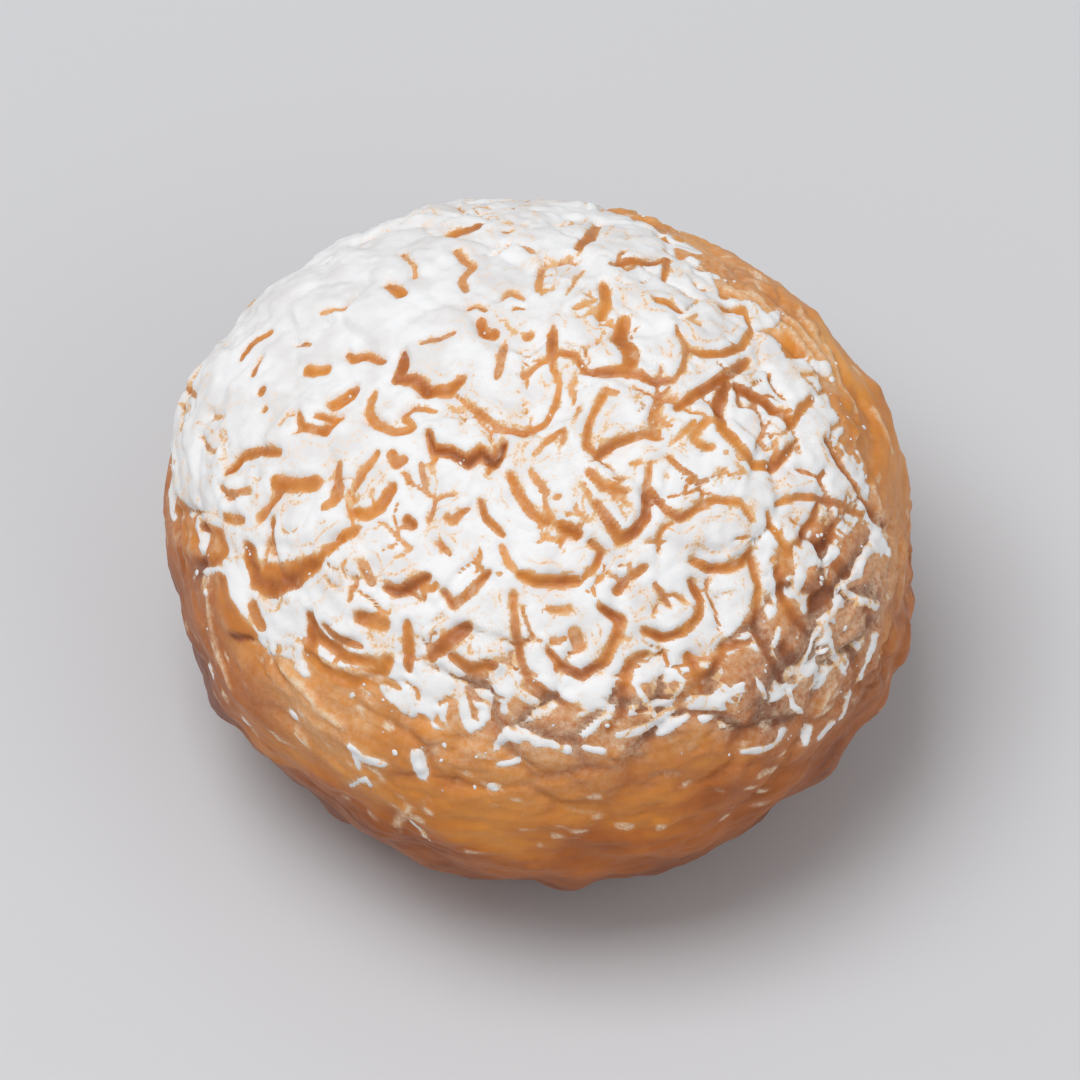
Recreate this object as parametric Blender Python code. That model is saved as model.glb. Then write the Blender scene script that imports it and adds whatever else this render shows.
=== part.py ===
"""Cream puff: one round choux bun with a crackled crust and a flat foot.

One closed solid in metres, with +Z up, the foot on z = 0 and the bun centred on the Z axis.
The crust is a shell of crackle plates: each plate is a domed island with creases around it.
The plates fade out towards the smooth lower side, and a few long creases wander over the top.
"""

import math

import bmesh
import bpy
import numpy as np

MM = 0.001

# Overall sizes in millimetres
WIDTH = 50.0
DEPTH = 49.0
HEIGHT = 34.0
GIRTH_HEIGHT = 15.0
BOWL_DEPTH = 16.3
PROFILE_POWER = 2.25

# Slow unevenness of the whole bun: (length of a swell in mm, height in mm)
LUMPS = ((30.0, 0.22), (12.0, 0.16))
# Fuller and flatter sides: (azimuth in degrees, latitude in degrees, spread in mm, height in mm)
SWELLS = (
    (155.0, 22.0, 13.0, 1.15),
    (49.0, 30.0, 10.0, -0.55),
    (-135.0, -8.0, 10.0, -0.25),
    (-28.0, -4.0, 6.0, 0.60),
)

# Crackle plates
PLATE_COUNT = 370
PLATE_TRIES = 14
PLATE_TILT = 0.06
PLATE_STEP = 0.22
PLATE_BLEND = 0.9
CREASE_WIDTH = 1.15
CREASE_DEPTH = 0.75
RIM_SHARES = (0.24, 0.50)
WARP = 0.45

# Where the crackle ends: a latitude that is higher on one side than on the other, in degrees
EDGE_LATITUDE = 3.0
EDGE_SWING = 15.0
EDGE_HIGH_AZIMUTH = -140.0
EDGE_FADE = 16.0
SMOOTH_CREASE = 0.10
# Smooth patches inside the crackle: (azimuth, latitude, radius in mm)
SMOOTH_PATCHES = ((50.0, 30.0, 3.5), (27.0, 26.0, 4.5), (5.0, 20.0, 4.5), (-150.0, 24.0, 3.5))

# Wrinkles that run down the smooth lower side
WRINKLE_COUNT = 19
WRINKLE_DEPTH = 0.16

# Long creases as (azimuth, latitude) points in degrees, each with its depth and half width in mm
LONG_CREASES = (
    (((175, 68), (-158, 77), (-105, 79), (-67, 85), (81, 84)), 0.75, 0.60),
    (((-150, 69), (-129, 71), (-113, 73)), 1.00, 0.70),
    (((56, 48), (29, 51), (8, 43), (-3, 38), (-9, 22)), 0.70, 0.60),
    (((-98, 18), (-82, 21), (-73, 22), (-63, 23), (-51, 14), (-44, 0)), 0.70, 0.80),
    (((-104, 70), (-96, 55), (-78, 54)), 0.60, 0.55),
    (((-92, 46), (-90, 38), (-82, 38), (-75, 45)), 0.60, 0.55),
    (((-158, 31), (-152, 28), (-151, 17), (-142, 24)), 0.60, 0.70),
    (((120, 62), (104, 45), (112, 30), (98, 14)), 0.90, 0.80),
    (((172, 48), (160, 34), (166, 20), (150, 8)), 0.70, 0.70),
)

# Mean radius in mm that turns an angle on the bun into a length on its crust
CRUST_RADIUS = 22.0
SEED = 41


def clear_scene():
    """Remove every object that the start-up scene holds."""
    for item in list(bpy.data.objects):
        bpy.data.objects.remove(item, do_unlink=True)


def smoothstep(low, high, value):
    """Ease from 0 at low to 1 at high."""
    share = np.clip((value - low) / (high - low), 0.0, 1.0)
    return share * share * (3.0 - 2.0 * share)


def waves(points, length, seed, count=22):
    """Smooth random field of unit variance with bumps about this length across."""
    rng = np.random.default_rng(seed)
    heading = rng.normal(size=(count, 3))
    heading /= np.linalg.norm(heading, axis=1, keepdims=True)
    pitch = rng.uniform(0.7, 1.35, count) * 2.0 * math.pi / length
    phase = rng.uniform(0.0, 2.0 * math.pi, count)
    turns = points @ (heading * pitch[:, None]).T + phase
    return np.sin(turns).sum(axis=1) * math.sqrt(2.0 / count)


def heading_of(azimuth, latitude):
    """Unit vector for an azimuth and a latitude in degrees."""
    turn = np.radians(np.asarray(azimuth, float))
    rise = np.radians(np.asarray(latitude, float))
    return np.stack([np.cos(rise) * np.cos(turn), np.cos(rise) * np.sin(turn), np.sin(rise)], axis=-1)


def plate_seeds():
    """Unit vectors of the plate centres: each one is the most open of a few random places."""
    rng = np.random.default_rng(SEED)
    seeds = np.empty((PLATE_COUNT, 3))
    for index in range(PLATE_COUNT):
        tries = rng.normal(size=(PLATE_TRIES, 3))
        tries /= np.linalg.norm(tries, axis=1, keepdims=True)
        nearest = (tries @ seeds[:index].T).max(axis=1, initial=-1.0)
        seeds[index] = tries[np.argmin(nearest)]
    return seeds


def bun_surface(unit):
    """Point on the smooth bun and the outward direction there, in mm, for unit vectors."""
    ring = np.hypot(unit[:, 0], unit[:, 1])
    reach = (ring**PROFILE_POWER + np.abs(unit[:, 2]) ** PROFILE_POWER) ** (-1.0 / PROFILE_POWER)
    rise = np.where(unit[:, 2] > 0.0, HEIGHT - GIRTH_HEIGHT, BOWL_DEPTH)
    half = np.stack([np.full(len(unit), WIDTH / 2.0), np.full(len(unit), DEPTH / 2.0), rise], axis=1)
    point = unit * reach[:, None] * half
    outward = unit / half
    return point, outward / np.linalg.norm(outward, axis=1, keepdims=True)


def crackle_share(unit):
    """1 where the crust is crackled, falling to 0 on the smooth lower side and in the smooth patches."""
    latitude = np.degrees(np.arcsin(np.clip(unit[:, 2], -1.0, 1.0)))
    azimuth = np.arctan2(unit[:, 1], unit[:, 0])
    swing = np.cos(azimuth - math.radians(EDGE_HIGH_AZIMUTH))
    edge = EDGE_LATITUDE + EDGE_SWING * swing + 5.0 * waves(unit * CRUST_RADIUS, 9.0, SEED + 1)
    share = smoothstep(edge - EDGE_FADE / 2.0, edge + EDGE_FADE / 2.0, latitude)
    for patch_azimuth, patch_latitude, size in SMOOTH_PATCHES:
        away = np.linalg.norm(unit - heading_of(patch_azimuth, patch_latitude), axis=1) * CRUST_RADIUS
        share = share * smoothstep(0.65 * size, 1.2 * size, away)
    return share


def bend(point):
    """Sideways shift in mm that makes the straight plate edges meander."""
    return WARP * np.stack([waves(point, 9.0, SEED + 10 + axis) for axis in range(3)], axis=1)


def plates(unit, seeds):
    """Crackle relief in mm at unit vectors: domed, tilted plates with creases between them."""
    bent = unit * CRUST_RADIUS + bend(unit * CRUST_RADIUS)
    centre = seeds * CRUST_RADIUS
    rng = np.random.default_rng(SEED + 20)
    step = rng.uniform(-1.0, 1.0, len(seeds)) * PLATE_STEP
    tilt = rng.normal(scale=PLATE_TILT, size=seeds.shape)
    apart = np.linalg.norm(bent[:, None, :] - centre[None, :, :], axis=2)
    near = np.argsort(apart, axis=1)[:, :3]
    reach = np.take_along_axis(apart, near, axis=1)
    weight = np.exp(-(reach**2 - reach[:, :1] ** 2) / PLATE_BLEND**2)
    weight /= weight.sum(axis=1, keepdims=True)
    lean = ((bent[:, None, :] - centre[near]) * tilt[near]).sum(axis=2)
    level = (weight * (step[near] + lean)).sum(axis=1)
    gap = np.linalg.norm(centre[near[:, 1]] - centre[near[:, 0]], axis=1)
    to_crease = (reach[:, 1] ** 2 - reach[:, 0] ** 2) / (2.0 * gap)
    fill = np.clip(1.0 - to_crease / CREASE_WIDTH, 0.0, 1.0)
    deep = np.clip(0.85 + 0.35 * waves(unit * CRUST_RADIUS, 8.0, SEED + 2), 0.25, 1.3)
    return level, -CREASE_DEPTH * deep * fill**1.6


def long_creases(unit):
    """Depth in mm of the long creases at unit vectors, as a negative height."""
    depth_here = np.zeros(len(unit))
    for path, depth, half_width in LONG_CREASES:
        corners = heading_of([p[0] for p in path], [p[1] for p in path])
        away = np.full(len(unit), np.inf)
        for start, end in zip(corners[:-1], corners[1:]):
            along = end - start
            share = np.clip((unit - start) @ along / (along @ along), 0.0, 1.0)
            foot = start + share[:, None] * along
            away = np.minimum(away, np.linalg.norm(unit - foot, axis=1) * CRUST_RADIUS)
        wander = np.abs(away + 0.35 * waves(unit * CRUST_RADIUS, 4.0, SEED + 3))
        depth_here = np.minimum(depth_here, -depth * np.exp(-((wander / half_width) ** 2)))
    return depth_here


def wrinkles(unit):
    """Soft upright wrinkles in mm on the smooth lower side."""
    azimuth = np.arctan2(unit[:, 1], unit[:, 0])
    sway = 0.8 * waves(unit * CRUST_RADIUS, 16.0, SEED + 4)
    low = smoothstep(0.35, -0.15, unit[:, 2])
    return WRINKLE_DEPTH * low * np.sin(WRINKLE_COUNT * azimuth + 2.5 * sway)


def crust_height(unit, seeds):
    """Relief in mm over the smooth bun at unit vectors."""
    share = crackle_share(unit)
    level, crease = plates(unit, seeds)
    height = (level + crease) * (SMOOTH_CREASE + (1.0 - SMOOTH_CREASE) * share)
    height += long_creases(unit) * np.maximum(share, 0.35)
    height += wrinkles(unit)
    for index, (length, amount) in enumerate(LUMPS):
        height += amount * waves(unit * CRUST_RADIUS, length, SEED + 30 + index)
    for azimuth, latitude, spread, amount in SWELLS:
        away = np.linalg.norm(unit - heading_of(azimuth, latitude), axis=1) * CRUST_RADIUS
        height += amount * np.exp(-((away / spread) ** 2))
    return height


def plate_mesh(seeds):
    """Unit-sphere mesh with one face for each plate, cut by its creases, then inset and poked.

    The hull of the seeds gives triangles between neighbouring plates. Poking each triangle and
    turning its old edges leaves a fan around every seed, and dissolving the seeds leaves the plates.
    """
    mesh = bmesh.new()
    for seed in seeds:
        mesh.verts.new(seed)
    bmesh.ops.convex_hull(mesh, input=list(mesh.verts))
    centres = list(mesh.verts)
    spans = list(mesh.edges)
    corners = bmesh.ops.poke(mesh, faces=list(mesh.faces))["verts"]
    places = []
    for corner in corners:
        around = [edge.other_vert(corner).co for edge in corner.link_edges]
        normal = (around[1] - around[0]).cross(around[2] - around[0]).normalized()
        places.append(normal if normal.dot(around[0]) > 0.0 else -normal)
    bmesh.ops.rotate_edges(mesh, edges=spans, use_ccw=False)
    bmesh.ops.rotate_edges(mesh, edges=[edge for edge in spans if edge.is_valid], use_ccw=True)
    bmesh.ops.dissolve_verts(mesh, verts=centres)
    for corner, place in zip(corners, places):
        corner.co = place
    bmesh.ops.recalc_face_normals(mesh, faces=list(mesh.faces))
    cells = list(mesh.faces)
    for share in RIM_SHARES:
        bmesh.ops.inset_individual(mesh, faces=cells, thickness=0.0)
        for cell in cells:
            middle = cell.calc_center_median()
            for vert in cell.verts:
                vert.co = vert.co.lerp(middle, share)
    bmesh.ops.poke(mesh, faces=cells)
    bmesh.ops.triangulate(mesh, faces=list(mesh.faces))
    return mesh


def shape_bun(mesh, seeds):
    """Move every vertex from the unit sphere to the crust, flatten the foot and fit the overall sizes."""
    unit = np.array([vert.co for vert in mesh.verts], float)
    unit = unit * CRUST_RADIUS - bend(unit * CRUST_RADIUS)
    unit /= np.linalg.norm(unit, axis=1, keepdims=True)
    point, outward = bun_surface(unit)
    point += outward * crust_height(unit, seeds)[:, None]
    point[:, 2] = np.maximum(point[:, 2] + GIRTH_HEIGHT, 0.0)
    low = point.min(axis=0)
    high = point.max(axis=0)
    middle = np.array([(low[0] + high[0]) / 2.0, (low[1] + high[1]) / 2.0, 0.0])
    fit = np.array([WIDTH, DEPTH, HEIGHT]) / (high - low)
    point = (point - middle) * fit * MM
    for vert, place in zip(mesh.verts, point):
        vert.co = place


def crust_material():
    """Baked golden-brown choux crust."""
    material = bpy.data.materials.new("baked_crust")
    material.use_nodes = True
    shader = material.node_tree.nodes["Principled BSDF"]
    shader.inputs["Base Color"].default_value = (0.527, 0.252, 0.093, 1.0)
    shader.inputs["Roughness"].default_value = 0.45
    shader.inputs["Metallic"].default_value = 0.0
    material.diffuse_color = (0.527, 0.252, 0.093, 1.0)
    return material


def main():
    """Build the bun as one object in its own collection."""
    clear_scene()
    seeds = plate_seeds()
    mesh = plate_mesh(seeds)
    shape_bun(mesh, seeds)
    bmesh.ops.recalc_face_normals(mesh, faces=list(mesh.faces))
    for face in mesh.faces:
        face.smooth = True
    data = bpy.data.meshes.new("cream_puff")
    mesh.to_mesh(data)
    mesh.free()
    bun = bpy.data.objects.new("cream_puff", data)
    bun.data.materials.append(crust_material())
    group = bpy.data.collections.new("Cream puff")
    bpy.context.scene.collection.children.link(group)
    group.objects.link(bun)


main()
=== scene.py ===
"""Dresses one cream puff: a crackled choux crust under powdered sugar, on a plain pale floor."""

import logging
import math
from dataclasses import dataclass, field
from enum import Enum
from typing import Any

import bmesh
import bpy
import numpy as np
from mathutils import Matrix, Vector


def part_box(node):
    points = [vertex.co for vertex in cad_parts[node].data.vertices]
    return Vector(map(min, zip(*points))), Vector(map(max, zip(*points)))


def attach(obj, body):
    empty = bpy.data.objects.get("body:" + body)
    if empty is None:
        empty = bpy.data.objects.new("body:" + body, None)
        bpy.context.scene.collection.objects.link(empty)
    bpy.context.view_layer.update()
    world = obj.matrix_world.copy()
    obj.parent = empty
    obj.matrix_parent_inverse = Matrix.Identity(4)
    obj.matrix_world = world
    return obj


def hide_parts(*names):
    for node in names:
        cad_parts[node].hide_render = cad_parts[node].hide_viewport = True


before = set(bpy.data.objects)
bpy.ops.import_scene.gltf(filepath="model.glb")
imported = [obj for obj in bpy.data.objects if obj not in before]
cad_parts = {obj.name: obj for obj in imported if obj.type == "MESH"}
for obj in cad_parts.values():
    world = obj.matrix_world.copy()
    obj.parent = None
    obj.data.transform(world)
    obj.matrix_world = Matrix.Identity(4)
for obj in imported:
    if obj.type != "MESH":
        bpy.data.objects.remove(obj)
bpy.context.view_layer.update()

LOG = logging.getLogger("cream_puff")

MM = 0.001
NODE = "cream_puff"
BODY = "root"
SEED = 41

# Mean radius of the crust in millimetres. Patterns are laid on a ball of this size
RADIUS = 22.0

# Height of the line of sight over the level, in degrees, and the camera's distance in millimetres
SIGHT = 53.3
DISTANCE = 658.0


class Slot(Enum):
    """Material slots of the stored part; no piece here is given one."""

    CRUST = "baked_crust"
    SUGAR = "powdered_sugar"


class Tone(Enum):
    """Colour handling of the render."""

    PLAIN = "Standard"


def linear(code: str) -> tuple[float, float, float, float]:
    """Turn an sRGB hex colour into linear RGBA.

    Args:
        code: Six hex digits with a leading hash.

    Returns:
        Linear red, green, blue and an alpha of 1.
    """
    parts = [int(code[i : i + 2], 16) / 255.0 for i in (1, 3, 5)]
    red, green, blue = (c / 12.92 if c <= 0.04045 else ((c + 0.055) / 1.055) ** 2.4 for c in parts)
    return (red, green, blue, 1.0)


def feed(tree: Any, node: Any, inputs: dict[Any, Any]) -> None:
    """Set or link the inputs of a node.

    Args:
        tree: Node tree that holds the node.
        node: The node.
        inputs: Input name or index to a constant, or to the socket that feeds it.
    """
    for name, value in inputs.items():
        if isinstance(value, bpy.types.NodeSocket):
            tree.links.new(value, node.inputs[name])
        else:
            node.inputs[name].default_value = value


def add_node(tree: Any, kind: str, inputs: dict[Any, Any] | None = None, **settings: Any) -> Any:
    """Add one shader node.

    Args:
        tree: Node tree that gets the node.
        kind: Blender's node type name.
        inputs: Input name or index to a constant, or to the socket that feeds it.
        **settings: Node properties.

    Returns:
        The new node.
    """
    node = tree.nodes.new(kind)
    for name, value in settings.items():
        setattr(node, name, value)
    feed(tree, node, inputs or {})
    return node


def mesh_of(shape: bmesh.types.BMesh, name: str) -> bpy.types.Mesh:
    """Turn a finished shape into a mesh of this name and free the shape.

    Args:
        shape: The shape.
        name: Name of the mesh.

    Returns:
        The mesh.
    """
    mesh = bpy.data.meshes.new(name)
    shape.to_mesh(mesh)
    shape.free()
    return mesh


def add_object(name: str, data: Any) -> bpy.types.Object:
    """Put a mesh, a light or a camera in the scene as an object of this name.

    Args:
        name: Name of the object.
        data: Its data.

    Returns:
        The object, at the origin.
    """
    made = bpy.data.objects.new(name, data)
    bpy.context.scene.collection.objects.link(made)
    return made


def latitude_of(unit: np.ndarray) -> np.ndarray:
    """Rise of each unit vector above the level, in degrees."""
    return np.degrees(np.arcsin(np.clip(unit[:, 2], -1.0, 1.0)))


def smoothstep(low: Any, high: Any, value: Any) -> Any:
    """Ease a number or an array from 0 where it is low to 1 where it is high."""
    share = np.clip((value - low) / (high - low), 0.0, 1.0)
    return share * share * (3.0 - 2.0 * share)


def waves(points: np.ndarray, length: float, seed: int, count: int = 22) -> np.ndarray:
    """Smooth random field of unit variance with bumps about this length across.

    Args:
        points: Places in millimetres, one row each.
        length: Length of a bump in millimetres.
        seed: Seed of the field.
        count: Number of plane waves that it is summed from.

    Returns:
        One value for each place.
    """
    rng = np.random.default_rng(seed)
    heading = rng.normal(size=(count, 3))
    heading /= np.linalg.norm(heading, axis=1, keepdims=True)
    pitch = rng.uniform(0.7, 1.35, count) * 2.0 * math.pi / length
    phase = rng.uniform(0.0, 2.0 * math.pi, count)
    turns = points @ (heading * pitch[:, None]).T + phase
    return np.sin(turns).sum(axis=1) * math.sqrt(2.0 / count)


def heading_of(azimuth: Any, latitude: Any) -> np.ndarray:
    """Unit vector for an azimuth and a latitude in degrees.

    Args:
        azimuth: Turn about +Z from +X, in degrees.
        latitude: Rise above the level, in degrees.

    Returns:
        The unit vector, or one row for each pair.
    """
    turn = np.radians(np.asarray(azimuth, float))
    rise = np.radians(np.asarray(latitude, float))
    return np.stack([np.cos(rise) * np.cos(turn), np.cos(rise) * np.sin(turn), np.sin(rise)], axis=-1)


def open_places(count: int, tries: int, seed: int) -> np.ndarray:
    """Unit vectors spread over a sphere: each one is the most open of a few random places.

    Args:
        count: Number of places.
        tries: Random places that each one is chosen from.
        seed: Seed of the random places.

    Returns:
        One unit vector in each row.
    """
    rng = np.random.default_rng(seed)
    places = np.empty((count, 3))
    for index in range(count):
        chosen = rng.normal(size=(tries, 3))
        chosen /= np.linalg.norm(chosen, axis=1, keepdims=True)
        nearest = (chosen @ places[:index].T).max(axis=1, initial=-1.0)
        places[index] = chosen[np.argmin(nearest)]
    return places


def drawn(limits: tuple[float, float], share: Any) -> Any:
    """The least value and this share of what can be added to it."""
    return limits[0] + limits[1] * share


def nearest_three(points: np.ndarray, centres: np.ndarray) -> tuple[np.ndarray, np.ndarray]:
    """The three nearest centres of each point.

    Args:
        points: Places in millimetres, one row each.
        centres: Centres in millimetres, one row each.

    Returns:
        Indices of the three nearest centres and their distances, nearest first.
    """
    near = np.empty((len(points), 3), int)
    reach = np.empty((len(points), 3))
    for start in range(0, len(points), 4096):
        part = points[start : start + 4096]
        apart = (part**2).sum(axis=1)[:, None] - 2.0 * part @ centres.T + (centres**2).sum(axis=1)
        first = np.argpartition(apart, 3, axis=1)[:, :3]
        found = np.take_along_axis(apart, first, axis=1)
        order = np.argsort(found, axis=1)
        near[start : start + 4096] = np.take_along_axis(first, order, axis=1)
        reach[start : start + 4096] = np.sqrt(np.maximum(np.take_along_axis(found, order, axis=1), 0.0))
    return near, reach


@dataclass(frozen=True)
class Mark:
    """Line on the crust as the camera sees it, in millimetres right and up from the bun's middle."""

    path: tuple[float, ...]
    width: float
    depth: float = 0.3
    bare: float = 1.0

    def places(self) -> np.ndarray:
        """Points of the path, one row each."""
        return np.array(self.path).reshape(-1, 2)


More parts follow.
